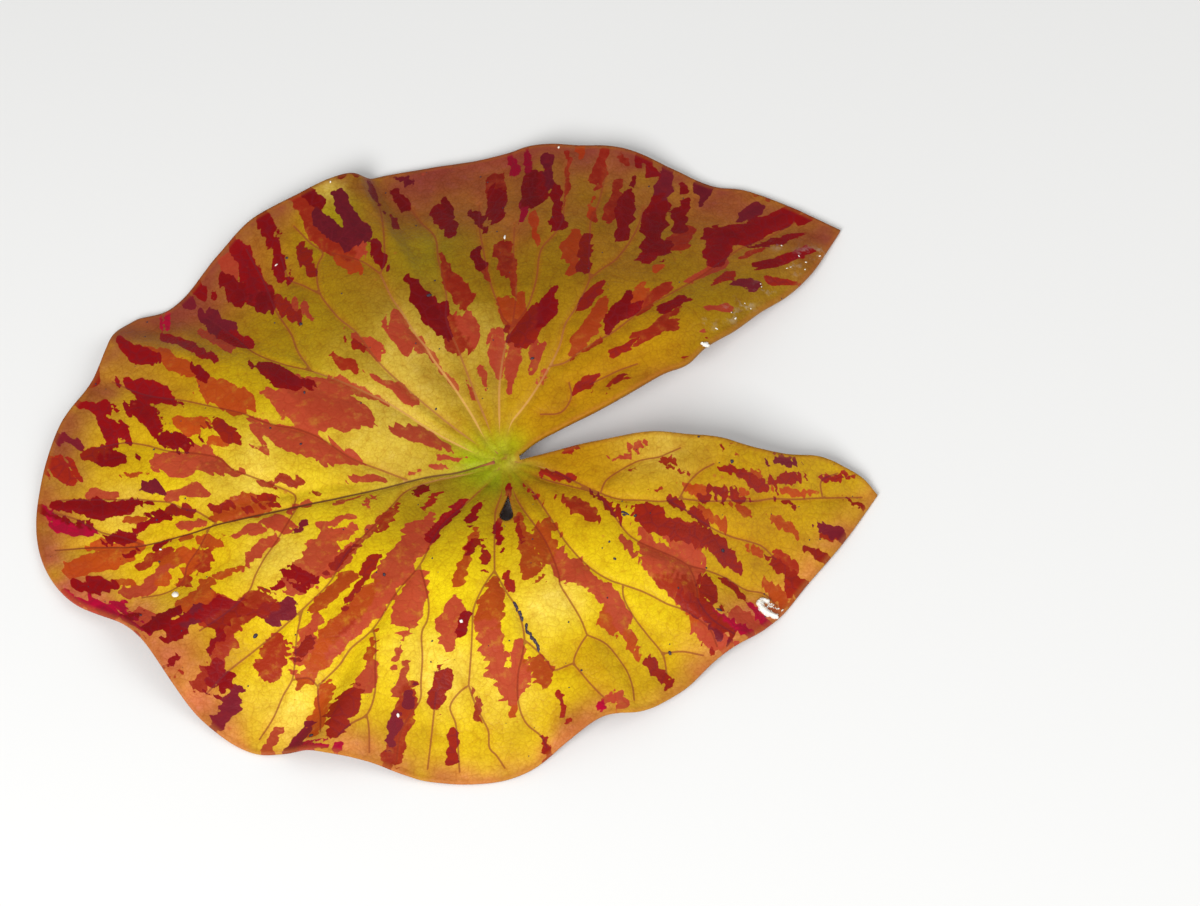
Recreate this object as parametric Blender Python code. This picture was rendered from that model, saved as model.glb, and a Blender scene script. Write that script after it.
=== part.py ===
"""Water lily pad, picked with a short stump of its stalk, lying face up.

The leaf is drawn round its hub, where the stalk joins it: angles in degrees are counted from the
notch (+X) through the left side (+Y) to the tip (-X), and lengths are in millimetres until the
meshes are made.
"""
import math

import bmesh
import bpy
from mathutils import Vector
from mathutils.geometry import delaunay_2d_cdt

MM = 0.001

# --- driving dimensions, in millimetres ---
RIM_STEP = 4.0            # spacing of the points along the outline
GRID_STEP = 6.2           # spacing of the points inside it
CLEAR_OF_EDGE = 2.2       # grid points keep this far from the outline
BLADE_AT_HUB = 1.4        # thickness of the blade between the ribs
BLADE_AT_RIM = 0.9
HUB_TOP = 8.0             # height of the upper face over the stalk
CROWN_RISE = 4.5          # the blade rises by this round the sunken hub
CROWN_REACH = 0.45        # where the crown is highest, as a share of the radius
SETTLE = 0.35             # the rim has sunk by this onto what it lies on
MIDRIB_CREASE = 2.2       # depth of the fold along the midrib
CREASE_WIDTH = 7.0
HUB_UNDERSIDE = 5.8       # height of the flat patch above the stalk
HUB_FLAT = 5.2            # its radius
HUB_BLEND = 10.0          # where the hub has run out into the blade
RIB_DEPTH = 1.7           # the ribs stand below the blade by this near the hub
RIB_HALF_WIDTH = 1.9
RIB_STEP = 8.0
STALK_TOP_RADIUS = 3.7
STALK_FOOT_RADIUS = 3.3
STALK_SIDES = 28
STALK_GAP = 0.3           # clearance between the stalk and the hub
CANAL_RADIUS = 0.75       # four air canals run up the stalk
CANAL_CIRCLE = 1.55
CANAL_DEPTH = 3.0
HOLE_TIP = (-1.1, -10.3)  # a tear-shaped hole beside the hub
HOLE_CENTRE = (-2.9, -16.6)
HOLE_RADIUS = 1.65

# outer edge, from the tip of the left lobe round to the tip of the right one: (degrees, radius)
RIM = [
    (28, 109), (36, 104.5), (42, 101.5), (46, 98), (52, 97), (61, 97), (68, 94.5), (75, 93.5),
    (78, 92), (99, 92.2), (101, 91.6), (104, 93.2), (112, 93.8), (120, 96.2), (128, 95.2),
    (139, 96), (143, 102), (146, 103.7), (155, 104), (162, 109), (174, 112.7), (181, 112),
    (187, 107.5), (193, 98.8), (197, 96.5), (211, 95.6), (220, 93.3), (226, 87.6), (229, 86.6),
    (236, 83), (246, 82.7), (255, 81.6), (262, 79.4), (270, 74.2), (277, 71.2), (284, 72.9),
    (293, 72.3), (302, 71.8), (309, 74.1), (316, 75.8), (325, 78), (334, 82.7), (344, 89.6),
]
# across the notch the blade's fall is measured to these radii
ACROSS_NOTCH = [(350, 92), (365, 95), (380, 98)]
# the notch's two edges, from the lobe's tip to the hub and back out: (x, y)
RIGHT_EDGE = [
    (86.0, -24.9), (84, -20.5), (80, -16.8), (75, -13.9), (66, -12.9), (60, -11.2), (51, -7.3),
    (44, -5.4), (34, -2.5), (24, -1.6), (12, -1.0), (3.5, -0.9),
]
LEFT_EDGE = [
    (3.5, 0.6), (8.6, 3.2), (15, 5), (24, 7), (33, 9.7), (42, 13), (48, 14.5), (54, 19),
    (62, 23.3), (70, 28.6), (78, 33.2), (86, 39.6), (92, 46.3), (96.3, 51.2),
]
# height of the wavy rim: (degrees, height of the upper face)
RIM_HEIGHT = [
    (8, 3.5), (18, 2.5), (27, 1.2), (36, 1.4), (46, 1.3), (53, 3), (60, 5), (70, 6), (76, 4.5),
    (84, 2.5), (92, 1.6), (99, 2), (103, 7), (108, 7.6), (118, 5), (128, 3), (136, 1.4),
    (143, 1.8), (148, 5), (156, 4.6), (166, 2.5), (176, 1.2), (184, 1.4), (190, 3.2),
    (198, 7.5), (205, 5), (212, 1.9), (219, 1), (224, 1.8), (229, 7), (236, 4.2), (246, 1.4),
    (255, 1.1), (263, 2.2), (272, 6.2), (280, 7.2), (288, 4.5), (295, 3.2), (301, 4.8),
    (307, 6.5), (313, 3.6), (320, 1.4), (330, 1.6), (342, 1.2), (355, 3),
]
# the ribs that carry the blade from below, each from the hub or a fork outwards
RIBS = [
    [(183, 8), (182, 20), (184.5, 36), (184.5, 52), (183, 71), (181.8, 90), (179.5, 104)],
    [(150, 8), (145, 20), (142, 32), (142.5, 52), (138, 59), (131, 71), (125, 86)],
    [(176, 28), (169.5, 37), (161, 50), (159.5, 60), (157, 71), (155.5, 90)],
    [(184, 52), (177, 55), (171.5, 65), (166, 80)],
    [(184.5, 52), (192, 59), (198, 68), (200.5, 76)],
    [(193, 9), (192, 22), (198, 32), (203, 42), (208.7, 54), (209.3, 70), (208.8, 84)],
    [(224, 8), (221, 23), (225.8, 36.5), (225, 46), (225.2, 56), (222.5, 70), (226, 80)],
    [(225.8, 36.5), (234, 44), (238, 53), (241, 65), (240.5, 77)],
    [(252, 24), (254.6, 32.5), (250, 40), (249.5, 50), (250.5, 60), (254, 68)],
    [(254.6, 32.5), (259.5, 38), (263.5, 46), (262, 56), (262, 68)],
    [(272, 10), (277, 20), (279.5, 34), (280.3, 51), (285, 62)],
    [(292, 8), (290, 20), (290, 36), (296.4, 45), (294, 60)],
    [(315, 8), (318, 20), (311, 35), (313.6, 50), (318, 64)],
    [(336, 9), (322.5, 20), (322, 28), (330, 43), (335.2, 55), (340.3, 70), (343.5, 84)],
    [(70, 9), (56, 20), (54.5, 34), (55.2, 53), (60, 66), (61.5, 82)],
    [(52, 27), (43, 36), (38.5, 46), (36.5, 60), (35.2, 76), (34, 93)],
    [(86, 8), (82, 20), (75.4, 35), (70.5, 42), (69.6, 58), (67.5, 74)],
    [(77, 34), (82, 46), (83.8, 60)],
    [(118, 8), (112, 18), (111.6, 38), (109.6, 58), (104.5, 68), (101.5, 80)],
    [(135, 9), (131, 28), (125.5, 49), (123.8, 61), (117, 75)],
    [(103, 9), (100, 28), (99.5, 40), (95.5, 52), (94, 68)],
]


def smooth(start, end, value):
    """Ease from 0 at start to 1 at end."""
    share = min(max((value - start) / (end - start), 0.0), 1.0)
    return share * share * (3 - 2 * share)


def at_angle(degrees, radius):
    """Plan point at an angle and radius from the hub."""
    turn = math.radians(degrees)
    return Vector((radius * math.cos(turn), radius * math.sin(turn)))


def steady_slope(first, second, third):
    """Slope at the middle knot that never makes the curve overshoot."""
    before = (second[1] - first[1]) / (second[0] - first[0])
    after = (third[1] - second[1]) / (third[0] - second[0])
    return 0.0 if before * after <= 0 else 2 * before * after / (before + after)


def round_value(knots, degrees):
    """Smooth value through (degrees, value) knots that close up round the leaf."""
    count = len(knots)
    turn = (degrees - knots[0][0]) % 360 + knots[0][0]
    last = max(index for index in range(count) if knots[index][0] <= turn)
    four = []
    for index in range(last - 1, last + 3):
        angle, value = knots[index % count]
        four.append((angle + 360 * (index // count), value))
    start, end = four[1], four[2]
    width = end[0] - start[0]
    share = (turn - start[0]) / width
    leave = steady_slope(*four[:3]) * width
    arrive = steady_slope(*four[1:]) * width
    return ((2 * share ** 3 - 3 * share ** 2 + 1) * start[1]
            + (share ** 3 - 2 * share ** 2 + share) * leave
            + (3 * share ** 2 - 2 * share ** 3) * end[1]
            + (share ** 3 - share ** 2) * arrive)


def curve_through(points, step):
    """Points about a step apart on a smooth open curve through the given ones."""
    points = [Vector(point) for point in points]
    padded = [2 * points[0] - points[1]] + points + [2 * points[-1] - points[-2]]
    result = []
    for before, start, end, after in zip(padded, padded[1:], padded[2:], padded[3:]):
        spans = [math.sqrt((b - a).length) for a, b in ((before, start), (start, end), (end, after))]
        leave = (start - before) / spans[0] - (end - before) / (spans[0] + spans[1])
        leave = (leave + (end - start) / spans[1]) * spans[1]
        arrive = (end - start) / spans[1] - (after - start) / (spans[1] + spans[2])
        arrive = (arrive + (after - end) / spans[2]) * spans[1]
        pieces = max(1, round((end - start).length / step))
        for index in range(pieces):
            share = index / pieces
            result.append((2 * share ** 3 - 3 * share ** 2 + 1) * start
                          + (share ** 3 - 2 * share ** 2 + share) * leave
                          + (3 * share ** 2 - 2 * share ** 3) * end
                          + (share ** 3 - share ** 2) * arrive)
    return result + [points[-1]]


def leaf_outline():
    """The blade's closed outline, anticlockwise, starting at the left lobe's tip."""
    rim = curve_through([at_angle(*knot) for knot in RIM], RIM_STEP)
    right = curve_through([rim[-1]] + [Vector(point) for point in RIGHT_EDGE[1:]], RIM_STEP)
    left = curve_through([Vector(point) for point in LEFT_EDGE[:-1]] + [rim[0]], RIM_STEP)
    return rim + right[1:] + left[:-1]


def hole_outline():
    """Tear shape: most of a circle, drawn out to a tip along its two tangents."""
    tip = Vector(HOLE_TIP)
    centre = Vector(HOLE_CENTRE)
    towards_tip = tip - centre
    axis = math.atan2(towards_tip.y, towards_tip.x)
    tangent = math.acos(HOLE_RADIUS / towards_tip.length)
    points = [tip]
    steps = 10
    for index in range(steps + 1):
        turn = axis + tangent + (2 * math.pi - 2 * tangent) * index / steps
        points.append(centre + HOLE_RADIUS * Vector((math.cos(turn), math.sin(turn))))
    return points


def is_inside(point, outline):
    """Whether a plan point lies inside a closed outline."""
    inside = False
    for start, end in zip(outline, outline[1:] + outline[:1]):
        if (start.y > point.y) != (end.y > point.y):
            crossing = start.x + (point.y - start.y) * (end.x - start.x) / (end.y - start.y)
            inside = inside != (point.x < crossing)
    return inside


def nearest(point, start, end):
    """Distance from a plan point to a straight stretch, and how far along it that is."""
    along = end - start
    share = min(max((point - start).dot(along) / along.length_squared, 0.0), 1.0)
    return (point - start - share * along).length, share


def clearance(point, outline):
    """Distance from a plan point to a closed outline."""
    return min(nearest(point, a, b)[0] for a, b in zip(outline, outline[1:] + outline[:1]))


def radius_share(point):
    """0 at the hub, 1 at the rim."""
    degrees = math.degrees(math.atan2(point.y, point.x))
    return point.length / round_value(RIM + ACROSS_NOTCH, degrees)


def upper_height(point):
    """Height of the blade's upper face."""
    share = radius_share(point)
    crown = HUB_TOP + CROWN_RISE * smooth(0, CROWN_REACH, share)
    rim = round_value(RIM_HEIGHT, math.degrees(math.atan2(point.y, point.x))) - SETTLE
    height = crown + (rim - crown) * smooth(0.42, 1.02, share) ** 1.15
    across = math.exp(-abs(point.y) / CREASE_WIDTH)
    along = smooth(2, 14, -point.x) * (1 - smooth(0.45, 0.95, share))
    return height - MIDRIB_CREASE * across * along


def rib_depth(point, ribs):
    """How far the ribs stand below the blade here."""
    fade = 1 - min(radius_share(point), 1.0)
    half_width = RIB_HALF_WIDTH * (0.4 + 0.6 * fade)
    gap = min(nearest(point, a, b)[0] for rib in ribs for a, b in zip(rib, rib[1:]))
    return (0.2 + RIB_DEPTH * fade) * max(0.0, 1 - gap / half_width)


def lower_height(point, ribs):
    """Height of the blade's underside: never below the surface that the pad lies on."""
    share = min(radius_share(point), 1.0)
    thickness = BLADE_AT_HUB + (BLADE_AT_RIM - BLADE_AT_HUB) * share
    height = upper_height(point) - thickness - rib_depth(point, ribs)
    hub = 1 - smooth(HUB_FLAT, HUB_BLEND, point.length)
    return max(0.0, height + (HUB_UNDERSIDE - height) * hub)


def rib_feet(rib):
    """Points on both sides of a rib, where it runs out into the blade."""
    feet = []
    for start, end in zip(rib, rib[1:]):
        middle = (start + end) / 2
        side = Vector((start.y - end.y, end.x - start.x)).normalized()
        half_width = RIB_HALF_WIDTH * (1 - 0.6 * min(radius_share(middle), 1.0))
        feet += [middle + side * half_width, middle - side * half_width]
    return feet


def inner_points(outline, hole, ribs):
    """Hub rings, rib feet and an even grid, all clear of the outline and of each other."""
    points = []
    for radius, count in ((2.2, 6), (HUB_FLAT, 14), (8.5, 18)):
        points += [at_angle(360 * (index + 0.5) / count, radius) for index in range(count)]
    for rib in ribs:
        points += rib_feet(rib)
    row_height = GRID_STEP * math.sqrt(3) / 2
    rows = int(120 / row_height)
    for row in range(-rows, rows + 1):
        for column in range(-rows, rows + 1):
            spot = Vector(((column + row % 2 / 2) * GRID_STEP, row * row_height))
            if spot.length > 9.5:
                points.append(spot)
    kept = []
    for point in points:
        crest = min(nearest(point, a, b)[0] for rib in ribs for a, b in zip(rib, rib[1:]))
        gap = GRID_STEP * 0.5 if len(kept) and point.length > 9.5 else 1.5
        if crest < 0.7 or not is_inside(point, outline) or is_inside(point, hole):
            continue
        if clearance(point, outline) < min(CLEAR_OF_EDGE, 0.2 * point.length):
            continue
        if clearance(point, hole) < 0.9:
            continue
        is_foot = crest < RIB_HALF_WIDTH * 1.05
        if all((point - other).length > (1.1 if is_foot else gap) for other in kept):
            kept.append(point)
    return kept


def blade_mesh():
    """The blade as one closed body: a planar net of triangles lifted to its two faces."""
    outline = leaf_outline()
    hole = hole_outline()
    ribs = [curve_through([at_angle(*knot) for knot in rib], RIB_STEP) for rib in RIBS]
    points = outline + hole
    edges = []
    for first, count in ((0, len(outline)), (len(outline), len(hole))):
        edges += [(first + index, first + (index + 1) % count) for index in range(count)]
    for rib in ribs:
        first = len(points)
        points = points + rib
        edges += [(first + index, first + index + 1) for index in range(len(rib) - 1)]
    points = points + inner_points(outline, hole, ribs)
    net, _, triangles = delaunay_2d_cdt(points, edges, [], 0, 0.05)[:3]
    kept = []
    for triangle in triangles:
        middle = sum((net[index] for index in triangle), Vector((0, 0))) / 3
        if is_inside(middle, outline) and not is_inside(middle, hole):
            kept.append(tuple(triangle))
    used = sorted({index for triangle in kept for index in triangle})
    place = {index: position for position, index in enumerate(used)}
    upper = [(tuple(place[index] for index in triangle)) for triangle in kept]
    under = len(used)
    bottom = [lower_height(net[index], ribs) for index in used]
    top = [max(upper_height(net[index]), low + 0.6) for index, low in zip(used, bottom)]
    verts = [(*net[index], high) for index, high in zip(used, top)]
    verts += [(*net[index], low) for index, low in zip(used, bottom)]
    faces = list(upper) + [tuple(under + index for index in reversed(face)) for face in upper]
    sides = {(a, b) for face in upper for a, b in zip(face, face[1:] + face[:1])}
    for a, b in sorted(sides):
        if (b, a) not in sides:
            faces.append((under + a, under + b, b, a))
    mesh = bpy.data.meshes.new("leaf_blade")
    mesh.from_pydata([[MM * value for value in vert] for vert in verts], [], faces)
    mesh.validate()
    return mesh


def stalk_mesh():
    """The stump of the stalk: a slightly tapered stem, cut flat at both ends."""
    form = bmesh.new()
    length = HUB_UNDERSIDE - STALK_GAP
    bmesh.ops.create_cone(form, cap_ends=True, segments=STALK_SIDES, radius1=STALK_FOOT_RADIUS * MM,
                          radius2=STALK_TOP_RADIUS * MM, depth=length * MM)
    bmesh.ops.translate(form, verts=form.verts, vec=(0, 0, length * MM / 2))
    mesh = bpy.data.meshes.new("petiole_stub")
    form.to_mesh(mesh)
    form.free()
    return mesh


def cut_air_canals(stalk, parent):
    """Four blind air canals, open at the stalk's cut end."""
    form = bmesh.new()
    for index in range(4):
        spot = at_angle(45 + 90 * index, CANAL_CIRCLE) * MM
        made = bmesh.ops.create_cone(form, cap_ends=True, segments=10, radius1=CANAL_RADIUS * MM,
                                     radius2=CANAL_RADIUS * MM, depth=2 * CANAL_DEPTH * MM)
        bmesh.ops.translate(form, verts=made["verts"], vec=(spot.x, spot.y, 0))
    mesh = bpy.data.meshes.new("air_canals")
    form.to_mesh(mesh)
    form.free()
    cutter = add_object(mesh, None, parent)
    cutter.hide_render = True
    cutter.display_type = "WIRE"
    cut = stalk.modifiers.new("air canals", "BOOLEAN")
    cut.operation = "DIFFERENCE"
    cut.object = cutter


def plain_material(name, colour, roughness):
    """A Principled material of one colour."""
    material = bpy.data.materials.new(name)
    material.use_nodes = True
    shader = material.node_tree.nodes["Principled BSDF"]
    shader.inputs["Base Color"].default_value = (*colour, 1)
    shader.inputs["Roughness"].default_value = roughness
    shader.inputs["Metallic"].default_value = 0.0
    material.diffuse_color = (*colour, 1)
    return material


def add_object(mesh, material, parent):
    """Put a mesh in the scene under the pad's frame."""
    item = bpy.data.objects.new(mesh.name, mesh)
    bpy.context.scene.collection.objects.link(item)
    item.parent = parent
    if material:
        mesh.materials.append(material)
    return item


def smooth_shading(item, sharp_over):
    """Round surfaces shade smoothly, with creases kept sharp."""
    item.data.shade_smooth()
    item.data.set_sharp_from_angle(angle=math.radians(sharp_over))


def main():
    for item in list(bpy.data.objects):
        bpy.data.objects.remove(item)
    frame = bpy.data.objects.new("hub", None)
    bpy.context.scene.collection.objects.link(frame)

    blade = add_object(blade_mesh(), plain_material("leaf", (0.62, 0.42, 0.02), 0.45), frame)
    smooth_shading(blade, 40)
    stalk = add_object(stalk_mesh(), plain_material("stalk", (0.30, 0.16, 0.06), 0.5), frame)
    cut_air_canals(stalk, frame)
    smooth_shading(stalk, 40)

    # the pad's origin is under the middle of its outline
    low = Vector([min(vert.co[axis] for vert in blade.data.vertices) for axis in range(2)])
    high = Vector([max(vert.co[axis] for vert in blade.data.vertices) for axis in range(2)])
    frame.location = (*(-(low + high) / 2), 0)
    bpy.context.view_layer.update()


main()
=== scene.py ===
"""Water lily pad in autumn colours: a mottled blade with sunken veins, ribs below and a cut stalk."""
import math

import bpy
import numpy as np
from bpy.props import FloatProperty, FloatVectorProperty, IntProperty, PointerProperty
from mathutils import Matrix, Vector
from mathutils.geometry import delaunay_2d_cdt
from mathutils.kdtree import KDTree


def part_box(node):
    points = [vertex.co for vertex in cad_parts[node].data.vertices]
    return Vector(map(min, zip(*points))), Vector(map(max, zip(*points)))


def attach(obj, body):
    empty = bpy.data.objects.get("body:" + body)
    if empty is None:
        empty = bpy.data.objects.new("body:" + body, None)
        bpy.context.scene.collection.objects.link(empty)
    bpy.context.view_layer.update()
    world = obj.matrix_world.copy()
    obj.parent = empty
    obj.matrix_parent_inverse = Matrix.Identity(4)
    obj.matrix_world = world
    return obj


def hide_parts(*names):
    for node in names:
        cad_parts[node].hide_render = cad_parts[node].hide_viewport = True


bl_info = {
    "name": "Water Lily Pad",
    "version": (1, 0, 0),
    "blender": (4, 5, 0),
    "location": "3D View > Sidebar > Lily Pad",
    "description": "Builds a mottled water lily pad with veins, ribs, stalk and dirt",
    "category": "Add Mesh",
}

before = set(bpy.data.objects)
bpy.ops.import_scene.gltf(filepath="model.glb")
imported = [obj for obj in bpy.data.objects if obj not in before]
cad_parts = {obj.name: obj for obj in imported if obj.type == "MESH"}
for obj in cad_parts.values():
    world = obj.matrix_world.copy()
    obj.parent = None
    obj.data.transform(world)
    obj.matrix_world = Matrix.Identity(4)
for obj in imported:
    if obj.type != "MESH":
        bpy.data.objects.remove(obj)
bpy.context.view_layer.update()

MM = 0.001
STALK_LOW, STALK_HIGH = (Vector(corner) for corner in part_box("petiole_stub"))
HUB = (STALK_LOW + STALK_HIGH) / 2        # the stalk stands under the middle of the hub

# Everything on the leaf is drawn round its hub in millimetres: angles in degrees run from the
# notch (+X) through the left side (+Y) to the tip (-X).

# outer edge, from the tip of the left lobe round to the tip of the right one: (degrees, radius)
RIM = [
    (28, 109), (36, 104.5), (42, 101.5), (46, 98), (52, 97), (61, 97), (68, 94.5), (75, 93.5),
    (78, 92), (99, 92.2), (101, 91.6), (104, 93.2), (112, 93.8), (120, 96.2), (128, 95.2),
    (139, 96), (143, 102), (146, 103.7), (155, 104), (162, 109), (174, 112.7), (181, 112),
    (187, 107.5), (193, 98.8), (197, 96.5), (211, 95.6), (220, 93.3), (226, 87.6), (229, 86.6),
    (236, 83), (246, 82.7), (255, 81.6), (262, 79.4), (270, 74.2), (277, 71.2), (284, 72.9),
    (293, 72.3), (302, 71.8), (309, 74.1), (316, 75.8), (325, 78), (334, 82.7), (344, 89.6),
]
# across the notch the blade's fall is measured to these radii
ACROSS_NOTCH = [(350, 92), (365, 95), (380, 98)]
# the notch's two edges, from the lobe's tip to the hub and back out: (x, y)
RIGHT_EDGE = [
    (86.0, -24.9), (84, -20.5), (80, -16.8), (75, -13.9), (66, -12.9), (60, -11.2), (51, -7.3),
    (44, -5.4), (34, -2.5), (24, -1.6), (12, -1.0), (3.5, -0.9),
]
LEFT_EDGE = [
    (3.5, 0.6), (8.6, 3.2), (15, 5), (24, 7), (33, 9.7), (42, 13), (48, 14.5), (54, 19),
    (62, 23.3), (70, 28.6), (78, 33.2), (86, 39.6), (92, 46.3), (96.3, 51.2),
]
# height of the wavy rim: (degrees, height of the upper face)
RIM_HEIGHT = [
    (8, 3.5), (18, 2.5), (27, 1.2), (36, 1.4), (46, 1.3), (53, 3), (60, 5), (70, 6), (76, 4.5),
    (84, 2.5), (92, 1.6), (99, 2), (103, 7), (108, 7.6), (118, 5), (128, 3), (136, 1.4),
    (143, 1.8), (148, 5), (156, 4.6), (166, 2.5), (176, 1.2), (184, 1.4), (190, 3.2),
    (198, 7.5), (205, 5), (212, 1.9), (219, 1), (224, 1.8), (229, 7), (236, 4.2), (246, 1.4),
    (255, 1.1), (263, 2.2), (272, 6.2), (280, 7.2), (288, 4.5), (295, 3.2), (301, 4.8),
    (307, 6.5), (313, 3.6), (320, 1.4), (330, 1.6), (342, 1.2), (355, 3),
]
HOLE_TIP = (-1.1, -9.9)
HOLE_CENTRE = (-2.8, -15.9)
HOLE_RADIUS = 1.75
HOLE_STRETCH = 1.35  # of its rounded end

# veins: strength at the start and end, then degrees,radius of each point
VEINS = """
    1 0.35: 183,4 183,10 182,20 184.5,30 185,40 184.5,50 183.8,60 183,70 182.7,80 181.8,90 180,100
        179,109;
    0.9 0.5: 158,5 150,10 145,20 142,30 142,40 142.5,52;
    0.5 0.3: 142.5,52 138,58.5 134.5,63 131,71 127,80 124,91;
    0.4 0.2: 142.5,52 143,60 142,68.5 139.5,76 137.5,86;
    0.5 0.3: 181,24 175,29.5 169.5,37 163.5,44 161,50 160.5,55 159.3,60 158,64 157,71 156,79
        155.5,90 154,99;
    0.4 0.25: 184.7,52 180.5,50.8 177,55 174.5,59.3 171.5,65 168.7,68 167,74 166,81 164.5,87 164,92
        164.6,99;
    0.4 0.25: 183,70 179,74 177.5,77.5 175.8,80.5 174.8,84.5 174,88 173.5,92 172.5,100 172,107;
    0.3 0.2: 182,88 179.5,93 178,97.5 175,103.7 173.6,109;
    0.5 0.3: 184.6,51 189.3,55.3 192,58.5 194.5,62.5 197.3,66.5 199.5,69.5 200.5,75 200.8,84;
    0.4 0.25: 183,72 186.5,76 188.5,79.5 191,82 191.5,86 190.4,92;
    0.7 0.35: 195,6 187,17 190,25 196,30 202,37.5 205.3,46.3 208.7,53 209.3,60 209.3,70 209,77
        208.6,84 209,91;
    0.35 0.2: 209.3,62 212.5,67 216,72 217.5,75 218,79 219,84 219.5,90;
    0.9 0.35: 228,6 224,11 222,17 221,24 223.5,30 225.8,36.5 225,45 225.2,55.5 223.3,62 223.2,66
        222.5,70 222,72.7;
    0.3 0.2: 222,72.7 223.7,75.5 225.5,78 227.5,82;
    0.3 0.2: 222,72.7 219.8,72.5 217.6,75;
    0.4 0.2: 225.3,55.5 227.3,57.5 230.6,63.6 232.6,68.3 233,73.5 231.5,77 230.5,81;
    0.3 0.2: 233,73.5 234.3,76 236,81;
    0.6 0.25: 225.8,36.5 235,44 236.7,48 236.6,51 239,56.7 240.3,61.7 241.2,65.3 240.3,69 239.6,74
        240.5,80.5;
    0.3 0.2: 244,63 245,72 245.7,80;
    0.8 0.5: 254,6 254,10 250.5,15 252,20 254,29 254.6,32.5;
    0.55 0.35: 254.6,32.5 252.4,35 250,39.3 249,43 249.5,47 250.1,52 250.4,56 250.6,60;
    0.3 0.2: 250.6,60 248.6,62.2 247.4,65.3 249,68.6 249.8,72 251,79.5;
    0.4 0.2: 250.6,60 252.3,63.7 254.1,67 255.4,69.6 255.8,73.5 257,75 258.5,78;
    0.6 0.3: 254.6,32.5 259.5,38.3 261.8,41 263.7,45.7 263.9,49.6 263,53 261.7,57.2 261.4,63.5
        262.6,68 265.2,71.5 266,74.5;
    0.35 0.2: 263.9,49.6 266.5,52 269,55.5 269.8,57.5 274.5,57.2;
    0.8 0.35: 272,6 272,11 275,15.5 279,22.5 280,27 279.3,36 278.4,38.2 279.2,42 280.3,48 280.2,51.9;
    0.35 0.2: 280.2,51.9 277.2,54 274.9,57 275.7,59.6 276.8,62.8 278.4,67;
    0.35 0.2: 280.2,51.9 283.8,55.5 285,60 285.3,63 284.8,66.8 283.8,70;
    0.8 0.4: 296,6 293,12 290,20 288.5,30 290.8,37.5 294,42.5 296.4,45;
    0.4 0.2: 296.4,45 294.4,47.5 293.7,52 294,57 294.3,63 292.7,67;
    0.4 0.2: 296.4,45 299.2,48.3 300.6,50.8 302.4,55 304,58.2 305,65.7 303.5,70;
    0.3 0.2: 294.3,62.5 298,65 300.5,69;
    0.7 0.4: 314,6 316,12 319,19 320,24.5 316.2,29 312.4,33 310.2,37 310.2,40 312,45 313.6,49.8
        314,52.3;
    0.35 0.2: 314,52.3 312.4,55 310.4,57.2 307.8,60 306.8,65 307.4,71;
    0.35 0.2: 314,52.3 315.9,56 317.5,61 317.9,66 319.4,70 318.5,74;
    0.9 0.35: 336,6 330,12 323,20 321.5,25 322,30.3 325.5,36 327.7,40 330.7,43.5 332.6,49 335.2,55
        337.2,60.5 339,64.5 340.3,70 341.6,75 342.6,80 343.4,86;
    0.35 0.2: 322,25.5 329.7,25.5 337,28 342.7,32 344.7,36.8 346.3,39 348.5,42;
    0.3 0.2: 330.7,43.5 336.9,44.7 341.3,47 344.2,50;
    0.3 0.15: 342,76.5 345,76 347,80;
    0.4 0.2: 328.5,41 328,45.5 327.2,48.5 326.5,54 327,58.5 327.8,62 328.2,65 327,69;
    0.8 0.4: 76,5 69,10.2 62.7,13 58,16.7 56,20 54.3,26 54,30 54.3,33 55.8,38.5 55,43.5 55,50.5
        55.3,53;
    0.4 0.2: 55.3,53 57.2,57 59.9,66 61,71 61,77 61.5,84 62,90;
    0.4 0.2: 55.3,53 53.8,57.5 52.4,61 52,66 52,70 52.4,75.5 53.5,82;
    0.5 0.3: 54.2,26.5 48,29 44.8,33.6 41.8,38 39.5,42.5 37.9,51.5 36.2,60.5 35.2,70.5 35.2,80.5
        35,86 34,92 33.2,101;
    0.3 0.15: 42,14.5 30,18 33,22.5 40,25;
    0.3 0.15: 31,28 28,34 25,40;
    0.8 0.5: 92,5 86,10 82,20 78,30 75.4,34.7;
    0.4 0.2: 75.4,34.7 79.2,37.7 81,42 82.5,46.7 83.2,51.4 83.7,58 84,67.5 83.5,76;
    0.3 0.15: 75.4,35.5 74.9,44 75.6,50 76.4,57 76.5,66;
    0.4 0.2: 75.4,34.7 70.7,40.7 69.7,45.7 69.5,50.3 69.9,57.3 69.4,60.3 67.9,63.5 66.7,68 67.4,77
        68.4,88;
    0.6 0.35: 106,5 102,12 101,20 100,30 99.6,39.5 96.6,46 95.5,52 94.8,59 93.8,65 93.9,68 95.2,73
        96,79;
    0.9 0.5: 122,5 117,8.5 112.6,14 111.8,18.4 111.5,24 112,31.5 111.6,34.7 112,39 111.1,47 111,51
        109.5,59.5;
    0.35 0.2: 109.5,59.5 107,62.5 104.5,68.5 102.7,74.7 101.5,81 100.8,88;
    0.3 0.2: 109.5,59.5 110.5,64 111.6,67 114.5,73;
    0.6 0.35: 138,6 134,14 132.5,22 131,30 129,40 125.5,49.5 125,56 123.8,61.3 122.8,65 120.5,69.5
        118,73 115.8,74.8 116,80 116,87;
    0.3 0.15: 122.8,65 123.4,70.5 123.9,75 121.5,82
"""

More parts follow.
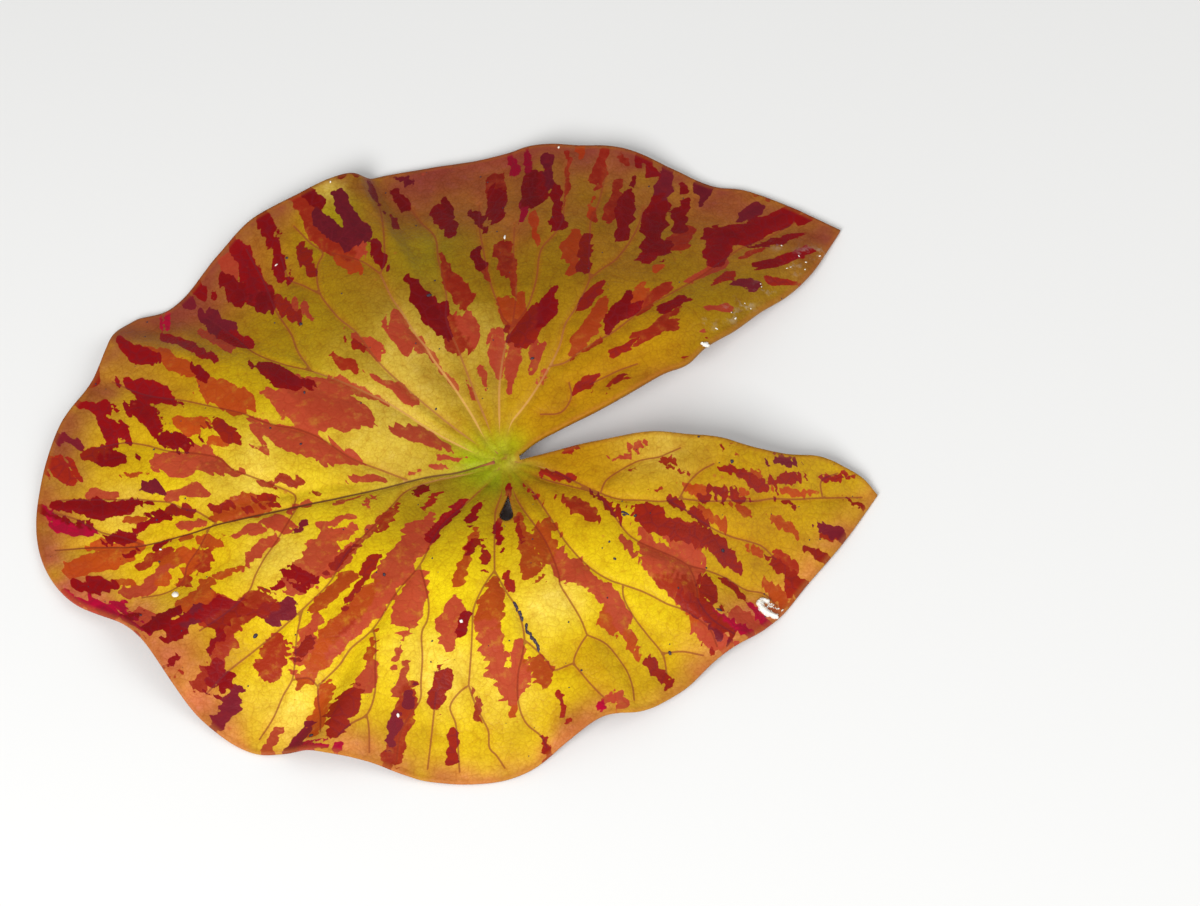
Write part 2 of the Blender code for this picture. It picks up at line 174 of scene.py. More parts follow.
# mottling, as strokes of the brush: colour, then degrees,radius,half width of each point
PALE_MARKS = {
    "rust": """
        148,92,3 150,82,2.5; 152.5,76,4 155.5,66,4.5; 114,72,3 113.3,63.5,2.2; 72.6,69,1.5
        70.8,60,0.8; 79.5,42,2 75.5,37,3.5; 73.5,43,1 73,38,2; 63.5,65,1.5 62,59,4 61,54,1.5;
        61.8,77,1.6 61.6,74,1.2; 67,95,1.8 66.5,91,1; 43,66,1.5 42.6,63,1.2; 42,57,2 40.5,53,3;
        47.8,47.5,2 47,40,3 47.5,32,1.5; 160.5,79,2 161.5,75,3.2; 240.5,21,1 242,29,1.5
        241.8,36,2; 268.5,16,1 270,24,2 270,33,3.5; 280,21.5,2 279,26,3.5 278,30,3; 284,22,2.5
        287,24,2; 335,45,2 334.5,49,2.5; 337.5,56,0.72 338.5,58,1.08; 343.5,60,1.08
        343,61.5,1.08; 341.2,67,0.86 342,72,1.08 342.8,75.5,0.43; 334.5,56.5,1.3 333.5,60,1;
        335.2,65,0.8 334,69.5,1.8 333,72.5,1; 321.5,70,1.5 320,75,3; 326.6,63.5,1.5
        326.2,65.5,1.3; 329.5,49,1.5 328.2,54.5,1.8; 305,57.5,1 304.2,62,2; 290,54,1.5
        289.5,58,2.2 288.3,61,0.8; 254.8,34,1.5 255,40,3.5 253.8,46,4.2; 264,55,2 267.5,57.5,3
        267,61,1.2; 260.5,65,1 260.5,67.5,1.2; 180.5,69,3 181,63,4 181.5,58,3; 186,80,2
        188,77,2.5 189.5,79,2; 183.2,79,1 183.3,76,1; 186.5,84,2.5 187,80.5,2; 189,88,1.5
        189,85,2; 182.5,104,3.5 182.8,98,4 183.3,92.5,1.5; 195.5,86,2.5 196.5,80,3; 194,76,2.5
        195,80,2; 211.5,49.5,2.5 211.3,56,2.5 211.2,60.5,1.5; 219.5,49,2.5 219.5,54,3.5
        218.5,61,4; 217.5,63,2.5 219.3,68,3.5 219.5,72,2; 218.5,73,1.2 220,77,1; 224.5,76,2
        226,81,2.5; 223.5,71.5,2 224.8,76,3; 226.5,57,1 228.8,62,1.5; 287,50.5,3 286.5,54,1.2;
        185,73,2 187,70.5,2; 179.8,100.5,1.8 182.1,89.6,2.2; 182.4,102.4,1.4 183.6,93.6,1.6;
        185.7,102.5,1.4 187.3,95,1.6; 177,92,1 178,87,1.2; 193.5,73,1.2 194.5,69,1.4;
        169.5,92,1.1 170,87,1.3; 164.5,70,1.1 165.5,66,1.1
    """,
    "salmon": """
        127,93,3 129,88,3; 127.5,66.5,2 129,62,1.5; 110,70,3 111,67,2; 140.5,84,2 142,76,3;
        95.5,39,2 94,34,3; 92,38,2 92,33.5,2; 113,47,2 115.5,42,4.5 117.5,36,2.5; 113.5,38,2
        112,30.5,1.5; 126.3,49.5,0.8 126,41,3; 73.5,32,3 74.5,24,2.2 75.5,18,0.8; 81,32.5,2
        82.5,27,3 81.5,22,1.5; 35.8,66,1.2 34.8,74,2 34.5,78,1.5; 27,64,1.5 26,68,1.5; 22.5,58,1
        22.5,59,1; 111.8,29,1 111.3,22,1; 103,22.5,0.8 102.8,16,1; 92.8,24,1 92,19,0.7; 54,25,1
        56,20,1; 63,30,2 62,24,1.5; 126,15.5,0.6 125,13.5,0.8; 153.5,27,2 152.5,22.5,3
        154.5,15.5,2; 166,15.5,0.9 165.5,10,0.6; 178,23,0.8 177.8,20.5,0.6; 173.5,18,0.7
        175,14.5,0.7; 178.7,36,1 179.3,30,1.5; 135.8,38.5,1 134.5,33,2.2 135,27,2; 142.5,45,1.5
        142.5,33,1.2; 152,60,2 154,53,4.5 157,47,5; 161.5,60,2 163.5,54,4 166.5,46,4.5
        169.5,40,3 172.5,35,0.8; 192.5,34.5,1.2 188,32,1.2; 214,25,2 216,31,4; 218,31,3.5
        219.5,38,4.5 220.5,45,4; 343,26.5,1.2 347.5,29.5,1.2; 350.5,30,1.2 350.5,32,1.2;
        348,34.5,0.8 348,35,0.8; 346,37,0.7 346,38,0.7; 307.8,36,1 306,39.5,1.5 304.5,42.5,0.8;
        313.5,38.5,1.5 313,42,2; 317.5,46,2 317.2,50,3 316.5,54,2.5; 310.5,41,2 310,47,4.5;
        307.5,45,3 308.5,50,4.5; 313,50,3 312.5,54,2.5; 311.5,68,3 311.5,74,2.5; 303.5,65,3
        304.5,71,3; 227.5,40,3 230,44,4.5 231.5,50,4; 243,41,2.5 243.5,48,4.2 244.5,54,1.5;
        253.5,47,4 256,54,3.5 259.5,60,3.5 260.5,63.5,1.2; 262.5,50,1.5 262,58,3; 278.5,67.5,2
        281,69,2.5; 283,31,1.5 285.5,36,4; 286,37,3 290,43,3 291,48,3.2 290,52,3.5; 280,31,1.2
        279.3,37,0.8; 168,83,2.5 169,78,4.5 169,71,3.5; 169,71,3.5 171.3,66,2.5 172.8,61.5,1.2;
        166.3,76,3 167,71,2; 174.5,80.5,1 174.8,75,2 175.8,71.5,1; 171.8,100,1.5 172.8,94,1.5;
        175.7,57.5,1 176.5,56,0.8; 186.5,58,2 188.5,55,2.5; 190.5,58.5,1 192.5,62.5,2
        194.8,67,1.2; 187.3,66,1.5 186.8,62,1.5; 188.7,96,2 189.5,91,2.5; 193,95,2.5 195,93,2.5;
        197.5,47,2.5 200.5,50,4; 200.5,50,4.5 203.5,58,4.5; 206.5,46,2 206.5,52,2; 213,61.5,2
        214.8,67,3 216.8,71.5,1.8; 229.3,62,1.2 230.3,68,2.5 230,71,1.5; 221,86,1.5 222,91,2.5;
        147,52,3 147,42,4; 150,50,5 152.5,36,4.5; 156,48,5 156,37,3.2; 188.5,62.7,0.9 188,57.9,1
        191.1,54.3,1.1; 192,59.3,1.2 194.6,66.6,1; 197.7,52.2,1.6 199.3,42.9,2; 206.1,46.3,1.6
        201,36,1.2; 223.2,31.5,1.2 222.7,51.1,2.4 219.7,68,2.2; 185.1,52.5,1 183.6,47.7,1.1;
        187.5,42.8,0.9 186.9,34.6,0.9; 188.5,90.9,1.4 187.4,83.4,1.8; 207,54,2 204,44,1.8;
        193.5,47,1 195.5,40,0.8; 180.5,78,1 181.6,73,1; 178.2,66,0.9 179,61,0.9; 172,45,0.8
        173.5,41,0.7; 167,60,1 168.5,56,1.1; 236,60,1.4 236.5,66,1.6; 233,56,1 233.5,61,1.1;
        159,62,1 160,58,1.2
    """,
    "brick": """
        63.3,93,1.8 62.5,84,2.6; 44.3,82,2.8 43.8,74,3.6; 59.4,86,1.5 58,78,2.5 57.8,73,1.5;
        112.5,95,3 113.3,80,3.5 112,71,5; 80.5,85,2.5 80.2,80,3.5; 68.7,91,0.7 67.5,82,0.8
        67,73,0.6; 79,58,2.5 78,52,3; 76.5,53,1.5 75.5,43,1; 84.5,53,1 83,46.5,0.5; 94,59.5,1.2
        93.8,52,2.2; 93.5,50,3 91,43.5,3.5; 99.5,40,3 99,32,3.3; 135.7,50,1 136.7,43.5,2;
        61.3,76,1 60.8,72,1.5; 60.5,96,1.2 59.5,92,1.5; 45.5,31,0.8 42,38,0.8; 38,52,1.5
        38,61,1.5; 33,82,1 32.5,88,1.2; 32.5,43.5,1.5 30,49.5,2.2; 31,52,2 28,54,2.2;
        31.5,53,1.5 31,59,1.2; 24.5,31,0.8 24.5,32,0.6; 22.5,29,0.8 22.5,30,0.6; 22,36,0.8
        22,37,0.6; 196.5,28.5,1 201.5,33,2.5 205.3,37,1.2; 305,19.5,1.5 305.5,23,3 306.5,27,2;
        342,37.5,1 343.5,41,1.3; 340.5,41,0.8 339.7,43.5,1.2; 330,36,1 331.5,38,0.6;
        338,29.5,0.7 338,31,0.6; 347.3,54,0.5 347.3,55,0.5; 321.5,47,3 322.5,51,3.5;
        328,69.5,1.5 326.5,73.5,3; 306.5,50.5,3 308,56,4.5; 238.5,64,2 238.8,74,2 239.3,83,1.2;
        239.5,65,1.8 239.8,72,2 240.3,79,1.8; 251.3,60.5,0.8 253.8,67.5,1.2; 175.8,54.5,1
        176.8,51.5,2 178,49,1; 181.5,45,0.9 181.5,46,0.9; 188.5,74,2 190.5,76,2; 190.8,81,2
        192,79,1.5; 185.3,91,1.5 185,86,2 184.8,82,1.2; 199,82,3 199.5,76,3.5; 202,74,4
        202.5,68,4; 203.5,77.5,3 205.3,80,3 206.8,85,2; 220.5,55,2.5 219.3,61,3; 210.5,72.5,2.5
        212.5,74.5,4.5 213.8,76.5,3.5; 206.8,89,2.5 207.5,92,2; 204.8,94,1.2 204.8,95,1;
        334.8,78,1.5 334.8,80,1.5
    """,
}
DARK_MARKS = {
    "crimson": """
        118.5,96,2.4 119.5,90,2.4; 120,89,1.6 123,78,1.5; 122.6,82,1.2 124.5,75.5,1.6;
        124.5,95,2.2 125.8,88,2.8 129.5,78,4.4; 130,90,2 131.5,82,3.6; 129.5,78,4.4 131,74,3;
        133,95,2.5 134,91,2; 139.5,80,3 140.5,72.5,1.5; 144,92,1.5 144.7,84,2.2; 145,83,1.5
        147,77,1; 147.5,101,1.8 149.3,93,3; 149,82,1.8 151,76,2; 153.8,95.5,2 155.3,87,3.2
        157,81,1; 145,66,2 147,59,4 147.5,52,2.5; 111,94,2.5 110.5,88,2.5; 100.8,89.5,0.8
        101.5,81.5,0.6; 105,93,1 100.5,91,1; 106,69,1 107.5,64,2 107.3,61.5,0.8; 100,78,1.5
        100.6,72.5,1.5; 98,87,1.3 96.8,81,1.8; 91.8,78.5,1.5 91.6,74,2.8 92,70,1.2; 89.6,79,1
        89.3,72,1.5; 89.8,70,2.2 90.2,65.5,1.5; 85,72.5,1.2 83.6,69,2 83.2,66.5,1; 80,79,3
        80.7,71.5,3; 74.3,83,2.5 73.5,75.5,3.5; 72.5,83.5,1.5 72,77,2.5; 69.3,79.5,1.3 67.8,72,2
        67,67,2; 85.3,59,1.2 85.5,53.5,2.2; 104,55,1.3 104.3,48,3 102,42.5,3.5; 101,43.5,3
        99.5,42,2; 103,41,3.5 103,36,2.2; 63.8,46,1.5 64.3,40,3.2 65.5,37,2.5; 56.7,83.5,2
        55.5,77,2.5 54,70.5,2.2; 56.9,87.5,1 56.9,89,0.8; 57.8,96,2 57.3,93,1; 56.5,96.8,1.6
        55,93.3,2; 51.8,89,2.2 51.3,82,3.2; 51,82,3.2 49,75,3.6; 48.3,85,1.5 45.5,82,2.2;
        47.5,73,4 45.5,70,3.5; 45.8,69.5,2.5 47,64.5,2.5; 40.2,83,3 37.8,88,4.5; 38.5,83,5
        36.5,77,3.5; 37.5,90,3.5 36.3,96,3; 37.5,92,2.5 37,96.5,1.8; 36,90,3.5 35.2,98,3
        34.7,106,2; 32.8,104,1 32.5,107,1.5; 39.8,102.5,1 38.9,104,1.5; 50.3,95.5,0.75
        49.5,92.5,1.12; 48.5,89,1.12 47.7,87,1.5; 33.5,88,1.5 32,94,3; 31.7,96,1.5 31.5,99,1.5;
        30,83,1.5 29,88,2; 28.9,90,2 27.8,99,2; 34.3,56.5,2 32.6,62,1.8; 43.3,53,1.2 42.2,49,3
        42.5,42,1.5; 41,49.5,2.5 39.7,52.5,1; 194.5,23.5,1 192.5,21,1.2; 220,15,1 219.6,22,1.8
        222,31,1.5; 233,14,0.8 234.5,19.5,2; 253.5,17.5,0.8 254.8,21,1.5 256.5,26,0.5;
        265,7.5,0.5 264,10.5,0.9; 158.3,106,1.5 158.8,98,2.5; 158,92,3 159.5,87.5,3.5
        162.3,84,2; 160.5,98,2 162.5,95,3.5 164.2,92.5,1; 166.5,96,3 167,91,2; 163.8,81,2
        165,76.5,3; 172.5,108,1.2 173.5,102,2.5 174.7,97,2.8; 174.7,97,2.8 175,91,2.2;
        175.3,87,1.5 175.5,85,1; 179.2,97,1.8 180.3,91,1.2; 179,89,1 178.8,83,1.5; 177.3,86.5,1
        177.8,83.5,2 178.5,80,0.8; 184.8,106,1.5 185.8,102,2.2 187,98,1.8; 196.8,94,2 196,90,3
        195.8,86,1.5; 199.5,91,1.5 198.7,87.5,2.5; 206.8,84.5,1.5 208,89,2.2; 209.3,85,1.5
        210.3,88.5,1.5; 202.5,93,0.9 203.3,95,1; 202,61.5,1.5 202,63,1; 246.8,45,1.2
        246.8,50,1.5; 241.5,27,1 241.8,29,0.8; 183.2,85.5,1 182.8,81.5,0.8; 183,94,1
        182.5,91.5,1; 200.7,58.8,1.6 206.1,57.2,1.3; 173,112,1.2 175,106,1.1 177.2,101.1,0.9;
        187.7,105.6,1.3 191,99.5,1.2 193.2,94.6,1.1; 197.9,89.4,1.8 198.2,81,2 200.9,72,1.8;
        204.5,84,1.2 202.7,78.4,1.2
    """,
    "brick": """
        117.5,80.5,2.2 120.5,72,1.2; 151.5,104.5,2 154.5,103,2.5; 128.3,73,1.2 130,67.5,2
        131,63.5,1.5; 128.3,47.5,1.2 129,45,1.5; 68.5,38.5,2.5 73,33,3.5; 67.5,36,3 69,31,3;
        60.8,65,1 58.7,59,3 57.3,54.5,1.2; 51.8,51,1.8 53.3,46,2.2; 32,71.5,1.2 31,75.5,1.5;
        33.5,36.5,1.5 32,41.5,1; 33,25,1.2 31.5,28,2 29.5,26,1; 200.5,18.5,0.9 204,21,1.2
        209,25.5,0.7; 249,26.5,1.3 250.2,31,1.2; 259.3,33,1 260.5,36,1.5 262.3,39,0.7;
        266.5,17,0.7 268,24,0.8; 290.6,9.5,0.5 292.8,14,0.5; 342,64,0.86 344.8,70,1.44;
        345.8,75.5,0.72 346,80,1.08 347.2,84,0.58; 343,83,0.72 341.5,86.5,1.08; 339.3,68,0.5
        338.8,70.5,0.5; 329.5,41.5,1 328.5,46,1 326.5,52,0.8; 320,24.5,1 316.5,29,1.2
        312.5,33,0.7; 333,47.5,0.8 334,52,1; 335.5,54,0.43 337.3,60.5,0.36; 316.8,62,1.5
        315.4,68,1; 291,64,1.8 291.5,69.5,2.2; 166,103,1.5 165.8,99,3; 166.3,111,1.8
        167.5,108,3.5 169.5,104,1.5; 160.8,71,2 163.3,67,2.2 165.7,63.8,0.8; 177,79.5,1.2
        178.8,74.5,1.2; 178.9,71,1.2 179.8,68,1.5; 179.8,59,1 180.3,54.5,1.2; 181.8,63.5,1.2
        181.8,61.5,1.2; 201,79,2.2 200.8,74.5,2.8 200.8,71.5,1.5; 213,41,1.5 213.2,45.5,2;
        229.5,71.5,2.5 229,76,4 229.8,80.5,1.8; 244.5,60.5,3 244.5,66,2; 248.8,69.5,1.2
        249.4,77.5,1.3; 269.8,64.5,0.7 270.2,68.5,1.2; 265.3,71.5,0.6 266,75.5,1.2; 243,26,1
        243,28,1; 26.5,84,1.5 24.8,88.5,1.8; 20.7,57,0.8 20.9,57.5,0.6; 18.5,49.5,1 18.8,50,0.8;
        24,33,0.8 23,35,0.6; 322.5,9.5,0.8 325,13.5,1.4 326,18,1; 354,15,0.8 354,16,1;
        343.5,51,0.86 343.3,54,0.86; 349.5,52,0.65 349.5,53,0.65; 335.8,50,0.72 337.2,54,1.8;
        342.7,56,1.44 341.5,60,1.8 340.7,64,1.08; 331.2,75.5,1 330.3,79.5,2; 326.5,68.5,1.2
        325.3,73,2 324,77.5,2.5; 323.5,74,2 322,79,2.5; 321.5,36,2.5 322.5,39.5,2.2;
        318.5,37.5,2.8 319.5,43.5,2.8 321.5,49,3; 324,52.5,2.8 322.3,57,3 321,62.5,1.5;
        306.5,57.5,2.5 307,64,3 307.3,70,1.5; 314.2,56,1.8 311.8,60,2.8 310.2,64,1.5;
        302,69.5,0.9 302,70.5,0.9; 206.2,51.8,1.5 204.6,43.8,1.4; 202.6,73.1,2 206.3,65.5,1.8;
        214.7,65.2,1.5 215.8,69.7,1.7; 214.3,44.7,0.8 216.5,54,0.8; 161,88,0.9 162,84,1;
        182.2,58,0.8 182.6,54,0.7
    """,
    "maroon": """
        136,95,1.5 136.5,92,1.8; 137,86.5,2.5 138.5,81,3.5; 112,85.5,1.8 111,73.5,2.8;
        107,87.5,1.5 108.5,73,3.8; 97,91.5,1 94.8,88.5,1.8; 72,89,1.6 71,80,1.8; 53.2,97,2.3
        51.8,89,2.4; 39.3,95,1.8 38.5,99,2.5; 47.6,97.5,2.2 46.8,94,2.5 45.8,90.5,0.8;
        29,74.5,1.2 27.3,78,2.5; 346.7,64.5,0.72 347.6,68.5,1.3; 348.3,65,0.5 348.3,65.6,0.5;
        336,77,1.5 335.8,82,2.5; 305.5,66.5,0.9 305,70,1.2; 163,110,1.5 164.3,104,1.5;
        172.8,87.5,1 172.3,84.5,2.5 173.5,81.5,1; 191.8,52.5,1 191,50.5,1.2; 198.5,85.5,2
        197.8,81,1.8; 206.2,61.5,1.5 207,65,3 206.8,69,2; 211.8,85.5,1.2 212.8,89,3
        213.5,93.5,2; 224.8,81.5,1.2 225,87,2.2; 238.2,71.5,1.5 238.6,77,1.5; 239,64.5,1.2
        239.3,68,1.5
    """,
    "magenta": """
        77.7,93,0.8 76.8,86,1.3; 75.2,92.5,0.9 74.6,83,1.2; 74.8,76,1 75.2,67,1; 173,111,1.2
        175,107,1.4; 175.5,109,1.2 177,104,1.6 177.8,101,0.8; 187.3,105.5,1.2 188.5,103,1.4
        190.5,98,2; 190.5,98,2 193,96.5,1.2; 308.5,64,0.7 309,72,1.4; 309.5,70,1.4 309.3,75,1.4;
        315.2,69,0.84 314,73,1.26 312.8,76.5,1.4; 306,72,0.7 306,74,0.84; 277.3,67.5,1
        277,70,1.2; 226.8,85,1.5 226.8,87,1.5; 231.5,83,1.2 231.5,84.5,1.2; 139.5,96,0.9
        142,93.5,0.8; 185.5,109.5,1.6 187.5,106,2.3 189.5,103,2.6; 189.5,103,2.6 191.8,98.6,2.4
        194.5,96.3,2.3 197.3,95.5,1.1; 174,109.5,1.2 176,105,1.3; 225.6,86.5,1.3 229.5,83.5,0.9
    """,
}

# soft changes of the ground colour: colour, then (degrees, radius, reach, strength)
GROUND_PATCHES = {
    # the olive patches darken the far side: partly the leaf's own colour, partly painted shade where
    # the blade tilts away from the light
    "olive": [
        (60, 60, 60, 0.75), (95, 60, 50, 0.85), (125, 75, 40, 0.6), (35, 70, 45, 0.7),
        (350, 60, 28, 0.25), (70, 85, 16, 0.4), (98, 68, 12, 0.4),
    ],
    "ochre": [
        (310, 12, 18, 0.75), (340, 18, 16, 0.7), (30, 28, 18, 0.75), (335, 60, 26, 0.5),
        (325, 66, 16, 0.4), (285, 62, 18, 0.35), (22, 45, 16, 0.6), (150, 88, 18, 0.5),
        (120, 88, 16, 0.35), (255, 66, 14, 0.3), (205, 80, 14, 0.35), (170, 95, 12, 0.2),
    ],
    "lemon": [
        (250, 45, 26, 0.5), (222, 78, 12, 0.5), (300, 45, 14, 0.4), (172, 55, 22, 0.25),
        (215, 55, 20, 0.25),
    ],
    "cream": [
        (330, 1.6, 1.7, 0.75), (176, 62, 9, 0.35), (169, 58, 8, 0.3), (222, 80, 8, 0.55),
        (118, 38, 14, 0.3), (140, 30, 12, 0.25), (165, 30, 14, 0.3), (272, 42, 7, 0.55),
        (240, 58, 8, 0.3), (246, 58, 6, 0.3), (197, 60, 8, 0.4), (175, 92, 6, 0.4),
        (108.5, 90, 4, 0.7), (258, 62, 6, 0.3), (88, 30, 10, 0.2), (350, 38, 10, 0.35),
    ],
    "tan": [
        (40, 90, 14, 0.6), (60, 87, 12, 0.45), (80, 80, 15, 0.6), (98, 80, 10, 0.4),
        (125, 86, 10, 0.6), (145, 96, 8, 0.5), (205, 90, 8, 0.5), (110, 62, 10, 0.25),
        (50, 60, 12, 0.3), (89, 88, 9, 0.6), (80, 90, 8, 0.6), (98, 86, 8, 0.5), (127, 90, 7, 0.6),
        (136, 90, 9, 0.8), (44, 95, 9, 0.8), (38, 100, 7, 0.4), (30, 105, 6, 0.6), (155, 101, 6, 0.6),
        (203, 94, 9, 0.8), (212, 92, 7, 0.6), (229, 83, 6, 0.5), (237, 82, 7, 0.6), (248, 82, 5, 0.5),
        (272, 73, 6, 0.7), (279, 69, 5, 0.4), (305, 70, 5, 0.5), (311, 70, 4, 0.5), (180, 110, 6, 0.4),
        (79, 64, 7, 0.5), (15, 42, 5, 0.5), (10, 20, 4, 0.4), (336, 83, 4, 0.4), (164, 105, 6, 0.5),
        (186, 56, 5, 0.4),
    ],
    "mauve": [
        (178, 2.2, 1.3, 0.5), (135, 94, 10, 0.6), (120, 92, 6, 0.4), (83, 88, 9, 0.45),
        (170, 106, 8, 0.4), (185, 104, 7, 0.4), (60, 94, 6, 0.35), (32, 103, 7, 0.45),
        (213, 93, 5, 0.5), (141, 93, 8, 0.7), (42, 94, 6, 0.35), (67, 92, 5, 0.5), (92, 89, 6, 0.35),
        (200, 95, 5, 0.5), (163, 106, 6, 0.6), (137, 95, 4, 0.5), (75, 89, 4, 0.4), (76, 68, 5, 0.3),
        (171, 109, 5, 0.3),
    ],
    "magenta": [
        (186.5, 110, 4, 0.8), (189.5, 104, 4.5, 0.75), (193, 98, 4, 0.65), (197, 96, 3.5, 0.4),
        (173.5, 111, 4, 0.6), (176, 106, 4, 0.4), (315.5, 75, 4, 0.6), (314, 71, 3, 0.4),
        (78, 91, 4, 0.35),
    ],
    "leafgreen": [
        (172, 8, 5.5, 0.85), (228, 6, 4.5, 0.7), (110, 5, 4.5, 0.6), (60, 5, 4.5, 0.45),
        (225, 9, 7, 0.35), (300, 5, 4, 0.4), (110, 82, 8, 0.25), (98, 62, 9, 0.2),
    ],
}
# the rim's flush: degrees, how far in it reaches in mm, strength
RIM_FLUSH = [
    (14, 10, 0.2), (22, 18, 0.75), (30, 22, 0.5), (40, 18, 0.4), (60, 24, 0.5), (80, 24, 0.5),
    (92, 20, 0.65), (103, 12, 0.45), (112, 7, 0.2), (125, 6, 0.3), (133, 10, 0.35), (146, 14, 0.3),
    (156, 20, 0.5), (166, 12, 0.5), (180, 12, 0.6), (195, 11, 0.65), (208, 7, 0.5), (225, 8, 0.4),
    (245, 5, 0.4), (270, 4, 0.45), (290, 3, 0.3), (300, 6, 0.65), (312, 10, 0.7), (320, 6, 0.45),
    (335, 6, 0.3), (346, 6, 0.2),
]
# painted shade: darker patches round the hub on its right side, where the blade turns away from the
# light: (degrees, radius, reach, strength)
PAINTED_SHADE_PATCHES = [(215, 15, 12, 0.35), (200, 28, 10, 0.2), (265, 12, 8, 0.25), (320, 10, 10, 0.2)]

# dirt: (degrees, radius, length, width) of each dark crumb, all in millimetres
CRUMBS = [
    (131.5, 62.5, 2.0, 1.5), (121, 80.5, 1.6, 1.2), (150, 50.7, 1.4, 1.0), (101.5, 47.3, 2.6, 1.5),
    (64, 26.7, 1.9, 1.3), (130.5, 21, 1.0, 0.8), (317.5, 36, 1.6, 1.2), (315.6, 33.6, 1.6, 1.0),
    (218.8, 43.7, 1.6, 1.4), (207.3, 74.3, 2.0, 1.6), (193.6, 94, 1.2, 1.0), (226.3, 83.5, 2.2, 1.5),
    (295.8, 63.5, 1.9, 1.4), (309.5, 64.6, 2.6, 1.3), (322.5, 57.3, 1.6, 1.4), (345.3, 54.3, 1.8, 1.5),
    (302.5, 35.5, 1.2, 0.9), (299.5, 39.5, 1.6, 1.1), (276, 59.3, 1.1, 0.7), (166, 48.6, 1.2, 1.0),
    (161.5, 56.5, 1.0, 0.9), (240, 52.5, 1.0, 0.8), (241.2, 57, 0.8, 0.6), (165.5, 84.5, 1.0, 0.9),
    (178.6, 84, 1.0, 0.9), (352, 46.5, 1.0, 0.9), (98, 51.5, 0.9, 0.8), (316.5, 56, 0.9, 0.8),
    (186, 85.5, 1.0, 0.8), (96.5, 72.5, 0.9, 0.7), (306.8, 54.5, 0.9, 0.8), (290, 46, 0.8, 0.7),
]
# crusts: rows of crumbs along a short line, (degrees, radius) at both ends and the count
CRUSTS = [
    ((262.1, 41.3), (264.0, 45.0), 7),
    ((264.6, 46.6), (267.2, 52.0), 11),
    ((315.9, 33.0), (316.4, 33.9), 2),
]
# pale grains: (degrees, radius, length, width)
PALE_GRAINS = [
    (192.7, 84.8, 2.6, 2.2), (238.2, 70.6, 1.5, 1.0), (246.2, 46.4, 1.3, 1.2), (70.2, 93, 1.0, 0.8),
    (78.6, 62.5, 2.0, 0.7), (123.2, 81, 1.2, 0.5), (107, 92.3, 0.9, 0.6), (183.9, 84.5, 1.1, 0.6),
]
# painted sheen and glints of a wet film on the left lobe's inner edge: (degrees, radius, reach,
# strength)
WET_GLINT_SPOTS = [
    (27.3, 97, 2.6, 1.0), (26.6, 101, 2, 0.9), (26.6, 91, 2.2, 0.8), (25.2, 80, 2.4, 0.7),
    (24.6, 73, 2.2, 0.9), (23.6, 68, 2.4, 0.8), (24.2, 61, 2.4, 0.5), (31.5, 93, 1.6, 0.6),
]
# the painted glint by the right lobe's rim, built as a curled arc of white chips: (degrees, radius)
# along its arc
CURL = [
    (318.3, 71.6), (317.9, 70.6), (317.1, 70.4), (316.4, 71.0), (316.0, 72.2), (315.9, 73.4),
    (316.0, 74.6), (316.2, 75.4),
]
CURL_CHIPS = 26   # small chips that lie inside the arc
# white chips that hang over the notch's edge as a painted glint: (degrees, radius, length, width)
HANGING = [(19.35, 56.9, 1.7, 1.3), (18.9, 57.2, 1.1, 0.8), (20.0, 56.3, 0.9, 0.8)]
# the stalk's air canals: (degrees, distance from its middle, radius)
CANALS = [
    (45, 1.6, 0.8), (135, 1.6, 0.8), (225, 1.55, 0.72), (315, 1.55, 0.72),
    (0, 2.45, 0.28), (90, 2.45, 0.28), (180, 2.45, 0.28), (270, 2.45, 0.28),
]
# grain of several sizes: (strength, size across, size along)
SKIN_GRAIN = [(0.30, 13, 13), (0.13, 4.7, 4.7), (0.05, 1.9, 1.9)]
MARK_DRIFT = [(1.9, 1.3, 11), (1.0, 0.7, 6), (1.2, 5, 9)]
MARK_SWAY = [(0.55, 4, 3.2), (0.3, 2, 1.4)]
MARK_FRAY = [(0.55, 2.6, 4.5)]
# the marks: kept at each point under this name, and how much the strokes shrink in mm
MARK_LAYERS = [("pale", PALE_MARKS, 0.2), ("dark", DARK_MARKS, 0.05)]

OUTLINE_STEP = 0.85        # spacing of the points round the blade, in mm
HOLE_STEP = 0.6
VEIN_STEP = 0.8
RIB_STEP = 2.2
ROUGH_OUTLINE_STEP = 1.5   # for tests of what lies inside the blade
VEIN_START = 2.5           # how near the hub the main veins run
GROOVE_WIDTH = 0.9
QUILT_REACH = 4.2          # the blade swells this far from its veins
LEAST_GAP = 0.4            # vein points and flakes keep this far from the edge
NET_JITTER = 0.13          # wander of the net's points, as a share of its step
EDGE_SWELL = 0.16          # the rim bulges by this between its two faces
THINNEST = 0.55            # least thickness of the blade
THINNEST_RIB = 0.12        # least radius of a rib
RIB_END = 0.93             # ribs stop at this share of the radius
CLEAR = 0.02               # everything stays this far above the ground
CANAL_DEPTH = 3.4
CANAL_SIDES = 16
STALK_SIDES = 72
STALK_FURROWS = 9
FURROW_DEPTH = 0.05
STALK_NECK = 0.88          # width at the cut, as a share of the width at the blade
MARK_REACH = 9             # a stroke is felt this far away
FAR_OUT = -6.0             # depth in the marks of points away from all of them
# the far side's marks are darker and duller: partly their own colour, partly painted shade where the
# blade tilts away from the light
FAR_SIDE = (15, 80)        # the marks are duller round this place
FAR_REACH = 55
FAR_DULLING = np.array([0.36, 0.56, 0.40])   # share of red, green and blue lost there
CROWN_REACH = 0.45         # the crown round the hub is highest at this share of the radius
FLOOR_REACH = 3            # half the floor's width, in metres
LOOK_RIGHT, LOOK_UP = 22.8, 2.4   # where the camera looks, in mm from the hub


